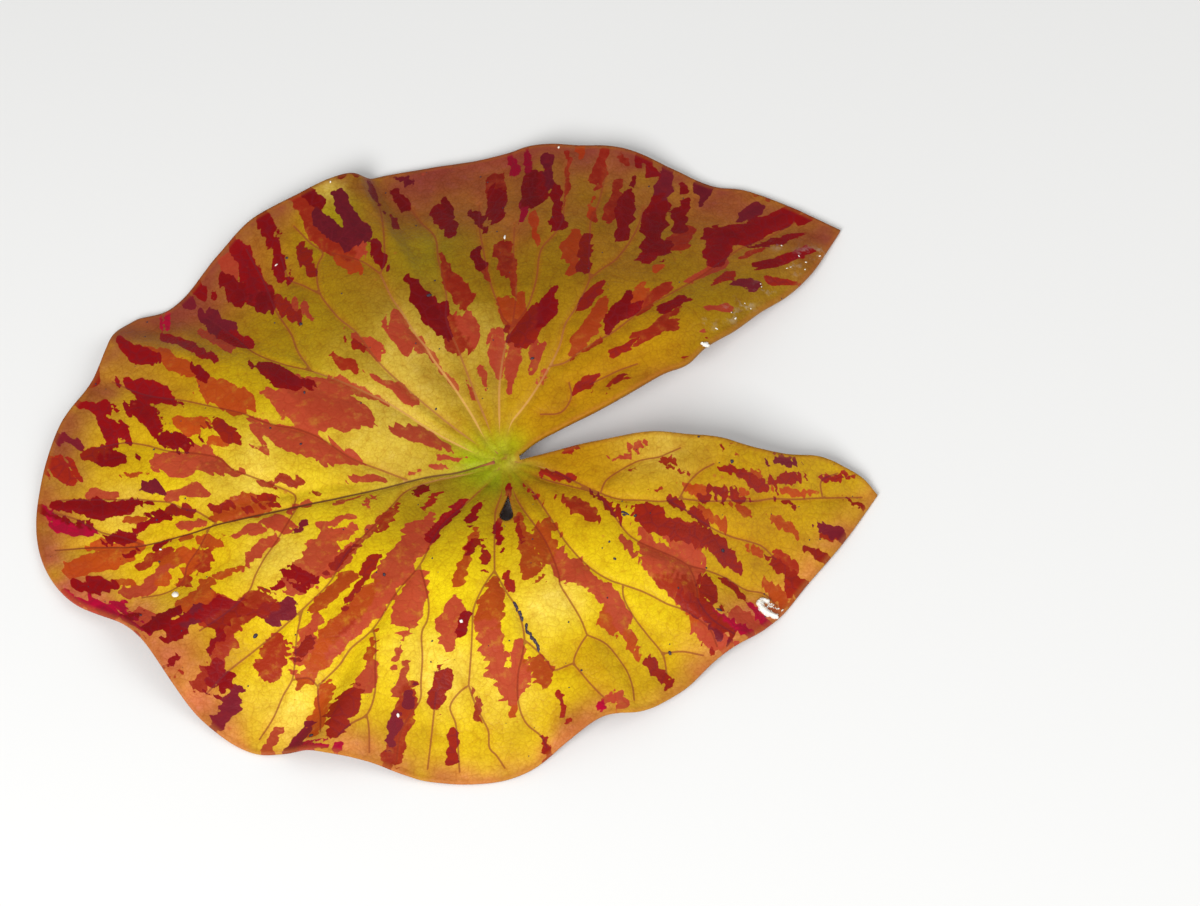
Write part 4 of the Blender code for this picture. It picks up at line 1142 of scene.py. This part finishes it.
def build_blade(shape, colours):
    """The blade: fine upper face, coarser underside and a rounded rim, in one closed mesh."""
    veins = vein_lines()
    outline, hole = leaf_outline(OUTLINE_STEP), hole_outline(HOLE_STEP)
    top, top_faces = planar_net(outline, hole, veins, shape.net_step, shape.seed)
    under, under_faces = planar_net(outline, hole, None, shape.under_step, shape.seed + 9)
    high = surface_height(top, veins, shape)
    low = under_height(under, veins, shape)
    floor_here = under_height(top, veins, shape)
    high = np.maximum(high, floor_here + THINNEST)

    count, place = len(top), {}
    for number, point in enumerate(np.round(under, 3).tolist()):
        place[tuple(point)] = number
    rim = boundary(top_faces)
    rim_points = [a for a, _ in rim]
    following = dict(rim)
    leading = {b: a for a, b in rim}
    pair = {a: place[tuple(np.round(top[a], 3).tolist())] for a in rim_points}
    # two rows round the rim, pushed outwards so that the edge is rounded
    rows = []
    for share in (0.3, 0.75):
        row = {}
        for a in rim_points:
            along = top[following[a]] - top[leading[a]]
            out = np.array([along[1], -along[0]]) / max(np.linalg.norm(along), 1e-6)
            push = EDGE_SWELL * math.sin(math.pi * share)
            row[a] = (*(top[a] + out * push), mix(high[a], low[pair[a]], share))
        rows.append(row)
    points = [to_world(top, high)]
    for row in rows:
        ring = np.array([row[a] for a in rim_points])
        points.append(to_world(ring[:, :2], ring[:, 2]))
    points.append(to_world(under, low))
    order = {a: index for index, a in enumerate(rim_points)}
    first = [count, count + len(rim_points), count + 2 * len(rim_points)]
    faces = top_faces.tolist()
    materials = [0] * len(faces)
    for a, b in rim:
        rings = [(a, b)] + [(first[k] + order[a], first[k] + order[b]) for k in (0, 1)]
        rings.append((first[2] + pair[a], first[2] + pair[b]))
        for (upper_a, upper_b), (lower_a, lower_b) in zip(rings, rings[1:]):
            faces.append([lower_a, lower_b, upper_b, upper_a])
            materials.append(0)
    faces += (under_faces[:, ::-1] + first[2]).tolist()
    materials += [1] * len(under_faces)
    mesh = bpy.data.meshes.new("pad_blade")
    mesh.from_pydata(np.vstack(points).tolist(), [], faces)
    mesh.validate()
    mesh.polygons.foreach_set("material_index", materials)
    mesh.shade_smooth()

    every = np.vstack([top, np.array([top[a] for a in rim_points * 2]), under])
    gap, strength = veins.gap(every)
    reach, side = np.hypot(*every.T), every[:, 1]
    store(mesh, "ground", ground_colour(every, colours, shape.seed))
    for name, marks, shrink in MARK_LAYERS:
        depth, colour = mark_field(every, marks, colours, shrink, shape.seed + 20)
        store(mesh, name + "_depth", depth)
        store(mesh, name + "_colour", colour)
    # veins fade into the hub; those on the right side are darker and finer there
    store(mesh, "vein_gap", gap + 0.5 * (1 - smooth(3, 13, reach)))
    store(mesh, "vein_strength", strength * (1 - 0.45 * smooth(0, -8, side)))
    store(mesh, "edge_gap", Lines([outline, hole], closed=True).gap(every)[0])
    store(mesh, "film", wet_glint_amount(every))
    # the rim is flushed everywhere but in the notch
    flushed = smooth(0.90, 0.97, radius_share(every)) * smooth(14, 24, np.abs(side))
    store(mesh, "flushed", flushed * mix(0.3, 1, smooth(-25, 15, side)))
    # the painted shade in the midrib's crease fades at both of its ends
    fold = Lines(vein_curves(VEIN_STEP)[:1]).gap(every)[0] + 0.25 * smooth(55, 100, reach)
    store(mesh, "midrib_gap", fold + 0.3 * (1 - smooth(1, 4, reach)))
    return new_object("pad_blade", mesh, leaf_top_material(colours), leaf_under_material(colours))


def wet_glint_amount(points):
    """Where painted sheen and glints of a wet film lie on the left lobe's inner edge."""
    amount = np.zeros(len(points))
    for degrees, radius, reach, strength in WET_GLINT_SPOTS:
        gap = spot_gap(points, degrees, radius)
        amount = np.maximum(amount, strength * fade(gap, reach))
    return amount


def geometry_tree(name, inputs):
    """A Geometry Nodes tree with named inputs and a material; returns it and its two ends."""
    tree = bpy.data.node_groups.new(name, "GeometryNodeTree")
    tree.interface.new_socket("Geometry", in_out="INPUT", socket_type="NodeSocketGeometry")
    for label, kind, default in (*inputs, ("Material", "NodeSocketMaterial", None)):
        socket = tree.interface.new_socket(label, in_out="INPUT", socket_type=kind)
        if default is not None:
            socket.default_value = default
    tree.interface.new_socket("Geometry", in_out="OUTPUT", socket_type="NodeSocketGeometry")
    return tree, tree.nodes.new("NodeGroupInput"), tree.nodes.new("NodeGroupOutput")


def tree_node(tree, kind, options=None, inputs=None):
    """Add a node to a tree: options first, then values or links."""
    made = tree.nodes.new(kind)
    for name, value in (options or {}).items():
        setattr(made, name, value)
    for name, value in (inputs or {}).items():
        if isinstance(value, bpy.types.NodeSocket):
            tree.links.new(value, made.inputs[name])
        else:
            made.inputs[name].default_value = value
    return made


def close_tree(tree, start, end, geometry):
    """Turn what a tree has made into one real mesh with its material."""
    real = tree_node(tree, "GeometryNodeRealizeInstances", None, {"Geometry": geometry})
    skin = tree_node(tree, "GeometryNodeSetMaterial", None,
                     {"Geometry": real.outputs["Geometry"], "Material": start.outputs["Material"]})
    tree.links.new(skin.outputs["Geometry"], end.inputs["Geometry"])
    return tree


def grow(source, tree, values, name):
    """Run a tree on an object and keep the result as a plain mesh."""
    modifier = source.modifiers.new(name, "NODES")
    modifier.node_group = tree
    for item in tree.interface.items_tree:
        if item.in_out == "INPUT" and item.name in values:
            modifier[item.identifier] = values[item.name]
    graph = bpy.context.evaluated_depsgraph_get()
    mesh = bpy.data.meshes.new_from_object(source.evaluated_get(graph))
    source.modifiers.remove(modifier)
    mesh.name = name
    mesh.materials.clear()
    mesh.materials.append(values["Material"])
    return mesh


def rib_tree():
    """Tubes along edges, as thick as the rib_radius kept at each point."""
    tree, start, end = geometry_tree("ribs along veins", [
        ("Sides", "NodeSocketInt", 10), ("Thickness", "NodeSocketFloat", 1.0)])
    thick = tree_node(tree, "GeometryNodeInputNamedAttribute", {"data_type": "FLOAT"},
                      {"Name": "rib_radius"})
    scaled = tree_node(tree, "ShaderNodeMath", {"operation": "MULTIPLY"},
                       {0: thick.outputs["Attribute"], 1: start.outputs["Thickness"]})
    curve = tree_node(tree, "GeometryNodeMeshToCurve", None, {"Mesh": start.outputs["Geometry"]})
    ring = tree_node(tree, "GeometryNodeCurvePrimitiveCircle", {"mode": "RADIUS"},
                     {"Resolution": start.outputs["Sides"], "Radius": 1.0})
    tube = tree_node(tree, "GeometryNodeCurveToMesh", None,
                     {"Curve": curve.outputs["Curve"], "Profile Curve": ring.outputs["Curve"],
                      "Scale": scaled.outputs[0], "Fill Caps": True})
    shaded = tree_node(tree, "GeometryNodeSetShadeSmooth", None, {"Geometry": tube.outputs["Mesh"]})
    return close_tree(tree, start, end, shaded.outputs["Geometry"])


def build_ribs(shape, colours):
    """Ribs under the veins: thick at the hub, running out towards the rim."""
    veins = vein_lines()
    outline = leaf_outline(ROUGH_OUTLINE_STEP)
    rows, radii, edges = [], [], []
    for curve in vein_curves(RIB_STEP):
        kept = curve[is_inside(curve[:, :2], outline)]
        plan = kept[:, :2]
        share = np.clip(radius_share(plan), 0, 1)
        keep = share < RIB_END
        kept, plan, share = kept[keep], plan[keep], share[keep]
        if len(plan) < 3:
            continue
        radius = shape.rib_radius * (0.10 + 0.95 * kept[:, 2]) * (1 - 0.72 * share)
        taper = np.minimum(1, (np.arange(len(plan))[::-1] + 1) / 4)
        radius = np.maximum(radius * taper, THINNEST_RIB)
        height = np.maximum(under_height(plan, veins, shape) - radius * 0.15, radius + CLEAR)
        edges += [(len(rows) + index, len(rows) + index + 1) for index in range(len(plan) - 1)]
        rows += to_world(plan, height).tolist()
        radii += (radius * MM).tolist()
    mesh = bpy.data.meshes.new("rib paths")
    mesh.from_pydata(rows, edges, [])
    store(mesh, "rib_radius", np.array(radii))
    paths = new_object("rib paths", mesh)
    grown = grow(paths, rib_tree(), {"Material": rib_material(colours), "Sides": 10}, "pad_ribs")
    bpy.data.objects.remove(paths)
    return new_object("pad_ribs", grown)


def build_stalk(shape, colours):
    """The cut stalk: a faintly ribbed stem with its air canals open at the cut."""
    low, high = STALK_LOW.z / MM, STALK_HIGH.z / MM
    wide = (STALK_HIGH.x - STALK_LOW.x) / 2 / MM
    sides, turns = STALK_SIDES, np.arange(STALK_SIDES) * (360 / STALK_SIDES)
    furrows = FURROW_DEPTH * np.cos(np.radians(turns * STALK_FURROWS))
    outer = at_angle(turns, STALK_NECK * wide + furrows)
    round_canal = np.arange(CANAL_SIDES) * (360 / CANAL_SIDES)
    rings = [at_angle(spot, reach) + at_angle(round_canal, size) for spot, reach, size in CANALS]
    loops = [outer] + rings
    points = [Vector(point) for point in np.vstack(loops).tolist()]
    edges, first = [], 0
    for loop in loops:
        edges += [(first + index, first + (index + 1) % len(loop)) for index in range(len(loop))]
        first += len(loop)
    net, _, triangles = delaunay_2d_cdt(points, edges, [], 0, 1e-4)[:3]
    net = np.array([tuple(point) for point in net])
    triangles = np.array([tuple(triangle) for triangle in triangles])
    middle = net[triangles].mean(1)
    keep = is_inside(middle, outer)
    for ring in rings:
        keep &= ~is_inside(middle, ring)
    rows = [(*point, low + CLEAR) for point in net.tolist()]
    faces = [list(face[::-1]) for face in triangles[keep].tolist()]
    start, previous = len(rows), list(range(sides))
    for level in np.linspace(0, 1, 12)[1:]:
        swell = STALK_NECK + 0.12 * level ** 3 + 0.012 * math.sin(level * 9)
        ring = at_angle(turns, wide * swell + furrows - FURROW_DEPTH)
        rows += [(*point, low + (high - low) * level) for point in ring.tolist()]
        current = list(range(start, start + sides))
        faces += [[previous[i], previous[(i + 1) % sides], current[(i + 1) % sides], current[i]]
                  for i in range(sides)]
        start, previous = start + sides, current
    faces.append(previous)
    begin = sides
    for ring in rings:
        above = len(rows)
        rows += [(*point, low + CANAL_DEPTH) for point in ring.tolist()]
        size = len(ring)
        faces += [[begin + (i + 1) % size, begin + i, above + i, above + (i + 1) % size]
                  for i in range(size)]
        faces.append(list(range(above, above + size))[::-1])
        begin += size
    mesh = bpy.data.meshes.new("stalk_stump")
    plan = np.array(rows)
    mesh.from_pydata(to_world(plan[:, :2], plan[:, 2]).tolist(), [], faces)
    mesh.validate()
    mesh.shade_smooth()
    mesh.set_sharp_from_angle(angle=math.radians(45))
    return new_object("stalk_stump", mesh, stalk_material(colours))


def lump(rng, length, width, height):
    """A small uneven crumb, flat below: points and faces round its own middle."""
    rings, sides = 4, 9
    points, faces = [], []
    for ring in range(1, rings):
        slope = math.pi / 2 * ring / (rings - 1)
        lift, out = math.cos(slope), math.sin(slope)
        for side in range(sides):
            turn = 2 * math.pi * side / sides
            swing = 1 + rng.uniform(-0.28, 0.28)
            rough = rng.uniform(-0.12, 0.12) * (ring < rings - 1)
            points.append((length / 2 * out * swing * math.cos(turn),
                           width / 2 * out * swing * math.sin(turn), height * (lift + rough)))
    points.append((0, 0, height))
    points += [(x * 0.9, y * 0.9, -0.15) for x, y, _ in points[-1 - sides:-1]]
    top, base = sides * (rings - 1), sides * (rings - 1) + 1
    for side in range(sides):
        after = (side + 1) % sides
        faces.append((top, side, after))
        for ring in range(rings - 2):
            a, b = ring * sides + side, ring * sides + after
            faces.append((a, a + sides, b + sides, b))
        edge = (rings - 2) * sides
        faces.append((edge + side, base + side, base + after, edge + after))
    faces.append(tuple(base + side for side in reversed(range(sides))))
    return np.array(points), faces


def scatter_lumps(name, items, shape, material, seed):
    """Crumbs at (x, y, length, width, height, turn), set on the upper face in one mesh."""
    rng = np.random.default_rng(seed)
    veins = vein_lines()
    rows, faces = [], []
    for x, y, length, width, height, turn in items:
        points, local = lump(rng, length, width, height)
        cos, sin = math.cos(turn), math.sin(turn)
        plan = np.column_stack([points[:, 0] * cos - points[:, 1] * sin + x,
                                points[:, 0] * sin + points[:, 1] * cos + y])
        ground = surface_height(plan, veins, shape)
        faces += [[len(rows) + index for index in face] for face in local]
        rows += to_world(plan, ground + points[:, 2]).tolist()
    mesh = bpy.data.meshes.new(name)
    mesh.from_pydata(rows, [], faces)
    mesh.validate()
    mesh.shade_smooth()
    return new_object(name, mesh, material)


def turned(rng, spot, length, width, height):
    """A crumb's place and size, with a turn by chance."""
    return (*spot, length, width, height, rng.uniform(0, math.pi))


def build_crumbs(shape, colours):
    """Dark crumbs and crusts of pond dirt, each where it lies."""
    rng = np.random.default_rng(shape.seed + 40)
    items = []
    for degrees, radius, length, width in CRUMBS:
        spot = at_angle(degrees, radius)
        items.append(turned(rng, spot, length * 0.55, width * 0.55, 0.15 + 0.1 * width))
    for start, end, count in CRUSTS:
        a, b = at_angle(*start), at_angle(*end)
        line = math.atan2(*(b - a)[::-1])
        for share in np.linspace(0, 1, count):
            spot = mix(a, b, share) + rng.uniform(-0.25, 0.25, 2)
            items.append((*spot, rng.uniform(0.8, 1.4), rng.uniform(0.45, 0.8), 0.2,
                          line + rng.uniform(-0.5, 0.5)))
    return scatter_lumps("dirt_crumbs", items, shape, crumb_material(colours), shape.seed + 41)


def build_grains_and_glints(shape, colours):
    """Pale grains, and white chips as painted glints: an arc by the right lobe's rim, specks on the
    left lobe's inner edge and chips over the notch's edge.
    """
    rng = np.random.default_rng(shape.seed + 50)
    items = []
    for degrees, radius, length, width in PALE_GRAINS:
        items.append(turned(rng, at_angle(degrees, radius), length * 0.7, width * 0.7, 0.35))
    # painted glint by the right lobe's rim: a short arc of overlapping white chips, thick in the middle
    spots = curve_through([at_angle(*knot) for knot in CURL], 0.45)
    for index, spot in enumerate(spots):
        share = index / (len(spots) - 1)
        size = 0.9 + 1.1 * math.sin(math.pi * min(1, share * 0.75 + 0.12))
        items.append(turned(rng, spot, size, size * 0.8, 0.45 + 0.35 * size))
    for _ in range(CURL_CHIPS):
        spot = at_angle(rng.uniform(316.3, 318.4), rng.uniform(72, 76))
        items.append(turned(rng, spot, rng.uniform(0.3, 0.7), rng.uniform(0.25, 0.5), 0.25))
    # white chips on the left lobe's inner edge, standing for glints of the wet film: painted glints
    for degrees, radius, reach, strength in WET_GLINT_SPOTS:
        for _ in range(int(3 * strength)):
            spot = at_angle(degrees, radius) + rng.normal(0, reach * 0.6, 2)
            items.append(turned(rng, spot, rng.uniform(0.3, 0.8), rng.uniform(0.2, 0.4), 0.12))
    outline = leaf_outline(ROUGH_OUTLINE_STEP)
    edge = Lines([outline], closed=True)
    spots = np.array([item[:2] for item in items])
    fits = is_inside(spots, outline) & (edge.gap(spots)[0] > LEAST_GAP)
    items = [item for item, good in zip(items, fits) if good]
    # white chips over the notch's edge: painted glint
    for degrees, radius, length, width in HANGING:
        items.append((*at_angle(degrees, radius), length, width, 0.6, 0.6))
    return scatter_lumps("dried_flakes", items, shape, grain_and_glint_material(colours), shape.seed + 51)


def dust_tree():
    """Grains of dust spread over a surface."""
    tree, start, end = geometry_tree("dust on a leaf", [
        ("Count per area", "NodeSocketFloat", 6000.0), ("Smallest", "NodeSocketFloat", 0.0001),
        ("Largest", "NodeSocketFloat", 0.0003), ("Seed", "NodeSocketInt", 3)])
    normal = tree_node(tree, "GeometryNodeInputNormal")
    facing = tree_node(tree, "ShaderNodeSeparateXYZ", None, {0: normal.outputs["Normal"]})
    upward = tree_node(tree, "FunctionNodeCompare",
                       {"data_type": "FLOAT", "operation": "GREATER_THAN"},
                       {0: facing.outputs["Z"], 1: 0.5})
    spots = tree_node(tree, "GeometryNodeDistributePointsOnFaces", {"distribute_method": "RANDOM"},
                      {"Mesh": start.outputs["Geometry"], "Selection": upward.outputs["Result"],
                       "Density": start.outputs["Count per area"], "Seed": start.outputs["Seed"]})
    ball = tree_node(tree, "GeometryNodeMeshIcoSphere", None, {"Radius": 1.0, "Subdivisions": 1})
    size = tree_node(tree, "FunctionNodeRandomValue", {"data_type": "FLOAT"},
                     {2: start.outputs["Smallest"], 3: start.outputs["Largest"],
                      "Seed": start.outputs["Seed"]})
    flat = tree_node(tree, "ShaderNodeCombineXYZ", None,
                     {0: size.outputs[1], 1: size.outputs[1], 2: size.outputs[1]})
    placed = tree_node(tree, "GeometryNodeInstanceOnPoints", None,
                       {"Points": spots.outputs["Points"], "Instance": ball.outputs["Mesh"],
                        "Rotation": spots.outputs["Rotation"], "Scale": flat.outputs[0]})
    return close_tree(tree, start, end, placed.outputs["Instances"])


def build_dust(shape, colours):
    """Fine dust on the upper face."""
    blade = bpy.data.objects["pad_blade"]
    area = sum(face.area for face in blade.data.polygons if face.material_index == 0)
    values = {"Count per area": shape.dust_count / area, "Seed": shape.seed, "Smallest": 0.00008,
              "Largest": 0.00024, "Material": crumb_material(colours)}
    mesh = grow(blade, dust_tree(), values, "dust_grains")
    kept = ("position", "material_index")
    for name in [layer.name for layer in mesh.attributes if layer.name not in kept]:
        layer = mesh.attributes.get(name)
        if layer and not layer.is_required and not name.startswith("."):
            mesh.attributes.remove(layer)
    return new_object("dust_grains", mesh)


def finish_piece(piece, slot, *replaced):
    """Tell the frame what a piece rides on and stands for; slot is not used."""
    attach(piece, "root")
    if replaced:
        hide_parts(*replaced)


class PAD_OT_blade(bpy.types.Operator):
    """Build the blade"""
    bl_idname = "pad.blade"
    bl_label = "Blade"

    def execute(self, context):
        finish_piece(build_blade(*settings()), "leaf_skin", "leaf_blade")
        return {"FINISHED"}


class PAD_OT_ribs(bpy.types.Operator):
    """Build the ribs under the blade"""
    bl_idname = "pad.ribs"
    bl_label = "Ribs"

    def execute(self, context):
        finish_piece(build_ribs(*settings()), "leaf_skin")
        return {"FINISHED"}


class PAD_OT_stalk(bpy.types.Operator):
    """Build the stump of the stalk"""
    bl_idname = "pad.stalk"
    bl_label = "Stalk"

    def execute(self, context):
        finish_piece(build_stalk(*settings()), "stalk_flesh", "petiole_stub")
        return {"FINISHED"}


class PAD_OT_dirt(bpy.types.Operator):
    """Lay the crumbs, pale grains, white chips as painted glints and dust on the blade"""
    bl_idname = "pad.dirt"
    bl_label = "Dirt"

    def execute(self, context):
        for build in (build_crumbs, build_grains_and_glints, build_dust):
            finish_piece(build(*settings()), "leaf_skin")
        return {"FINISHED"}


class PadStage(bpy.types.PropertyGroup):
    """Camera and light."""
    azimuth: FloatProperty(name="Azimuth", description="Camera's turn round the pad, in degrees",
                           default=-12.2)
    elevation: FloatProperty(name="Elevation", description="Camera's height angle, in degrees",
                             default=60.0)
    distance: FloatProperty(name="Distance", description="Camera from its target", default=0.8,
                            unit="LENGTH")
    key_power: FloatProperty(name="Key light", description="Power in watts", default=15.0)
    fill_power: FloatProperty(name="Fill light", description="Power in watts", default=4.0)
    sky: FloatProperty(name="Sky", description="Strength of the even light", default=0.38)


def add_area_light(name, place, target, size, power):
    """A soft square light that looks at a point."""
    lamp = bpy.data.lights.new(name, "AREA")
    lamp.shape, lamp.size, lamp.energy = "SQUARE", size, power
    holder = bpy.data.objects.new(name, lamp)
    holder.location = place
    holder.rotation_euler = (Vector(target) - Vector(place)).to_track_quat("-Z", "Y").to_euler()
    bpy.context.scene.collection.objects.link(holder)
    return holder


def camera_axes(stage):
    """The camera's backward, right and up directions."""
    turn, rise = math.radians(stage.azimuth), math.radians(stage.elevation)
    back = Vector((math.sin(turn) * math.cos(rise), -math.cos(turn) * math.cos(rise), math.sin(rise)))
    right = Vector((math.cos(turn), math.sin(turn), 0))
    return back, right, back.cross(right)


class PAD_OT_stage(bpy.types.Operator):
    """Set up the floor, lights and camera"""
    bl_idname = "pad.stage"
    bl_label = "Stage"

    def execute(self, context):
        stage = context.scene.pad_stage
        mesh = bpy.data.meshes.new("floor")
        corners = [(x * FLOOR_REACH, y * FLOOR_REACH, 0)
                   for x, y in ((-1, -1), (1, -1), (1, 1), (-1, 1))]
        mesh.from_pydata(corners, [], [(0, 1, 2, 3)])
        floor_paint = Shader("floor paint", Roughness=0.75)
        floor_paint.surface.inputs["Base Color"].default_value = (0.78, 0.78, 0.77, 1)
        floor = new_object("floor", mesh, floor_paint.material)

        back, right, up = camera_axes(stage)
        target = Vector((HUB.x, HUB.y, 6 * MM)) + right * LOOK_RIGHT * MM + up * LOOK_UP * MM
        lens = bpy.data.cameras.new("camera")
        lens.lens, lens.sensor_width, lens.clip_start = 100, 36, 0.01
        camera = bpy.data.objects.new("camera", lens)
        camera.location = target + back * stage.distance
        camera.rotation_euler = back.to_track_quat("Z", "Y").to_euler()
        context.scene.collection.objects.link(camera)
        context.scene.camera = camera

        centre = Vector((0, 0, 0))
        add_area_light("key light", (-0.55, -0.75, 0.8), centre, 0.6, stage.key_power)
        add_area_light("fill light", (0.8, -0.2, 0.8), centre, 0.8, stage.fill_power)
        world = bpy.data.worlds.new("soft sky")
        world.use_nodes = True
        sky = world.node_tree.nodes["Background"]
        sky.inputs["Color"].default_value = (1, 1, 1, 1)
        sky.inputs["Strength"].default_value = stage.sky
        context.scene.world = world
        context.scene.view_settings.view_transform = "Standard"
        return {"FINISHED"}


class PAD_PT_panel(bpy.types.Panel):
    """Lists the pad's pieces in the sidebar"""
    bl_label = "Lily Pad"
    bl_idname = "PAD_PT_panel"
    bl_space_type = "VIEW_3D"
    bl_region_type = "UI"
    bl_category = "Lily Pad"

    def draw(self, context):
        for operator in OPERATORS:
            self.layout.operator(operator.bl_idname)
        for group in (context.scene.pad_shape, context.scene.pad_colours, context.scene.pad_stage):
            for name in type(group).__annotations__:
                self.layout.prop(group, name)


OPERATORS = (PAD_OT_stage, PAD_OT_blade, PAD_OT_ribs, PAD_OT_stalk, PAD_OT_dirt)
GROUPS = {"pad_shape": PadShape, "pad_colours": PadColours, "pad_stage": PadStage}
CLASSES = (*GROUPS.values(), *OPERATORS, PAD_PT_panel)


def register():
    for item in CLASSES:
        bpy.utils.register_class(item)
    for name, group in GROUPS.items():
        setattr(bpy.types.Scene, name, PointerProperty(type=group))


def unregister():
    for name in GROUPS:
        delattr(bpy.types.Scene, name)
    for item in reversed(CLASSES):
        bpy.utils.unregister_class(item)


def main():
    register()
    bpy.ops.pad.stage()
    bpy.ops.pad.blade()
    bpy.ops.pad.ribs()
    bpy.ops.pad.stalk()
    bpy.ops.pad.dirt()


if __name__ == "__main__":
    main()
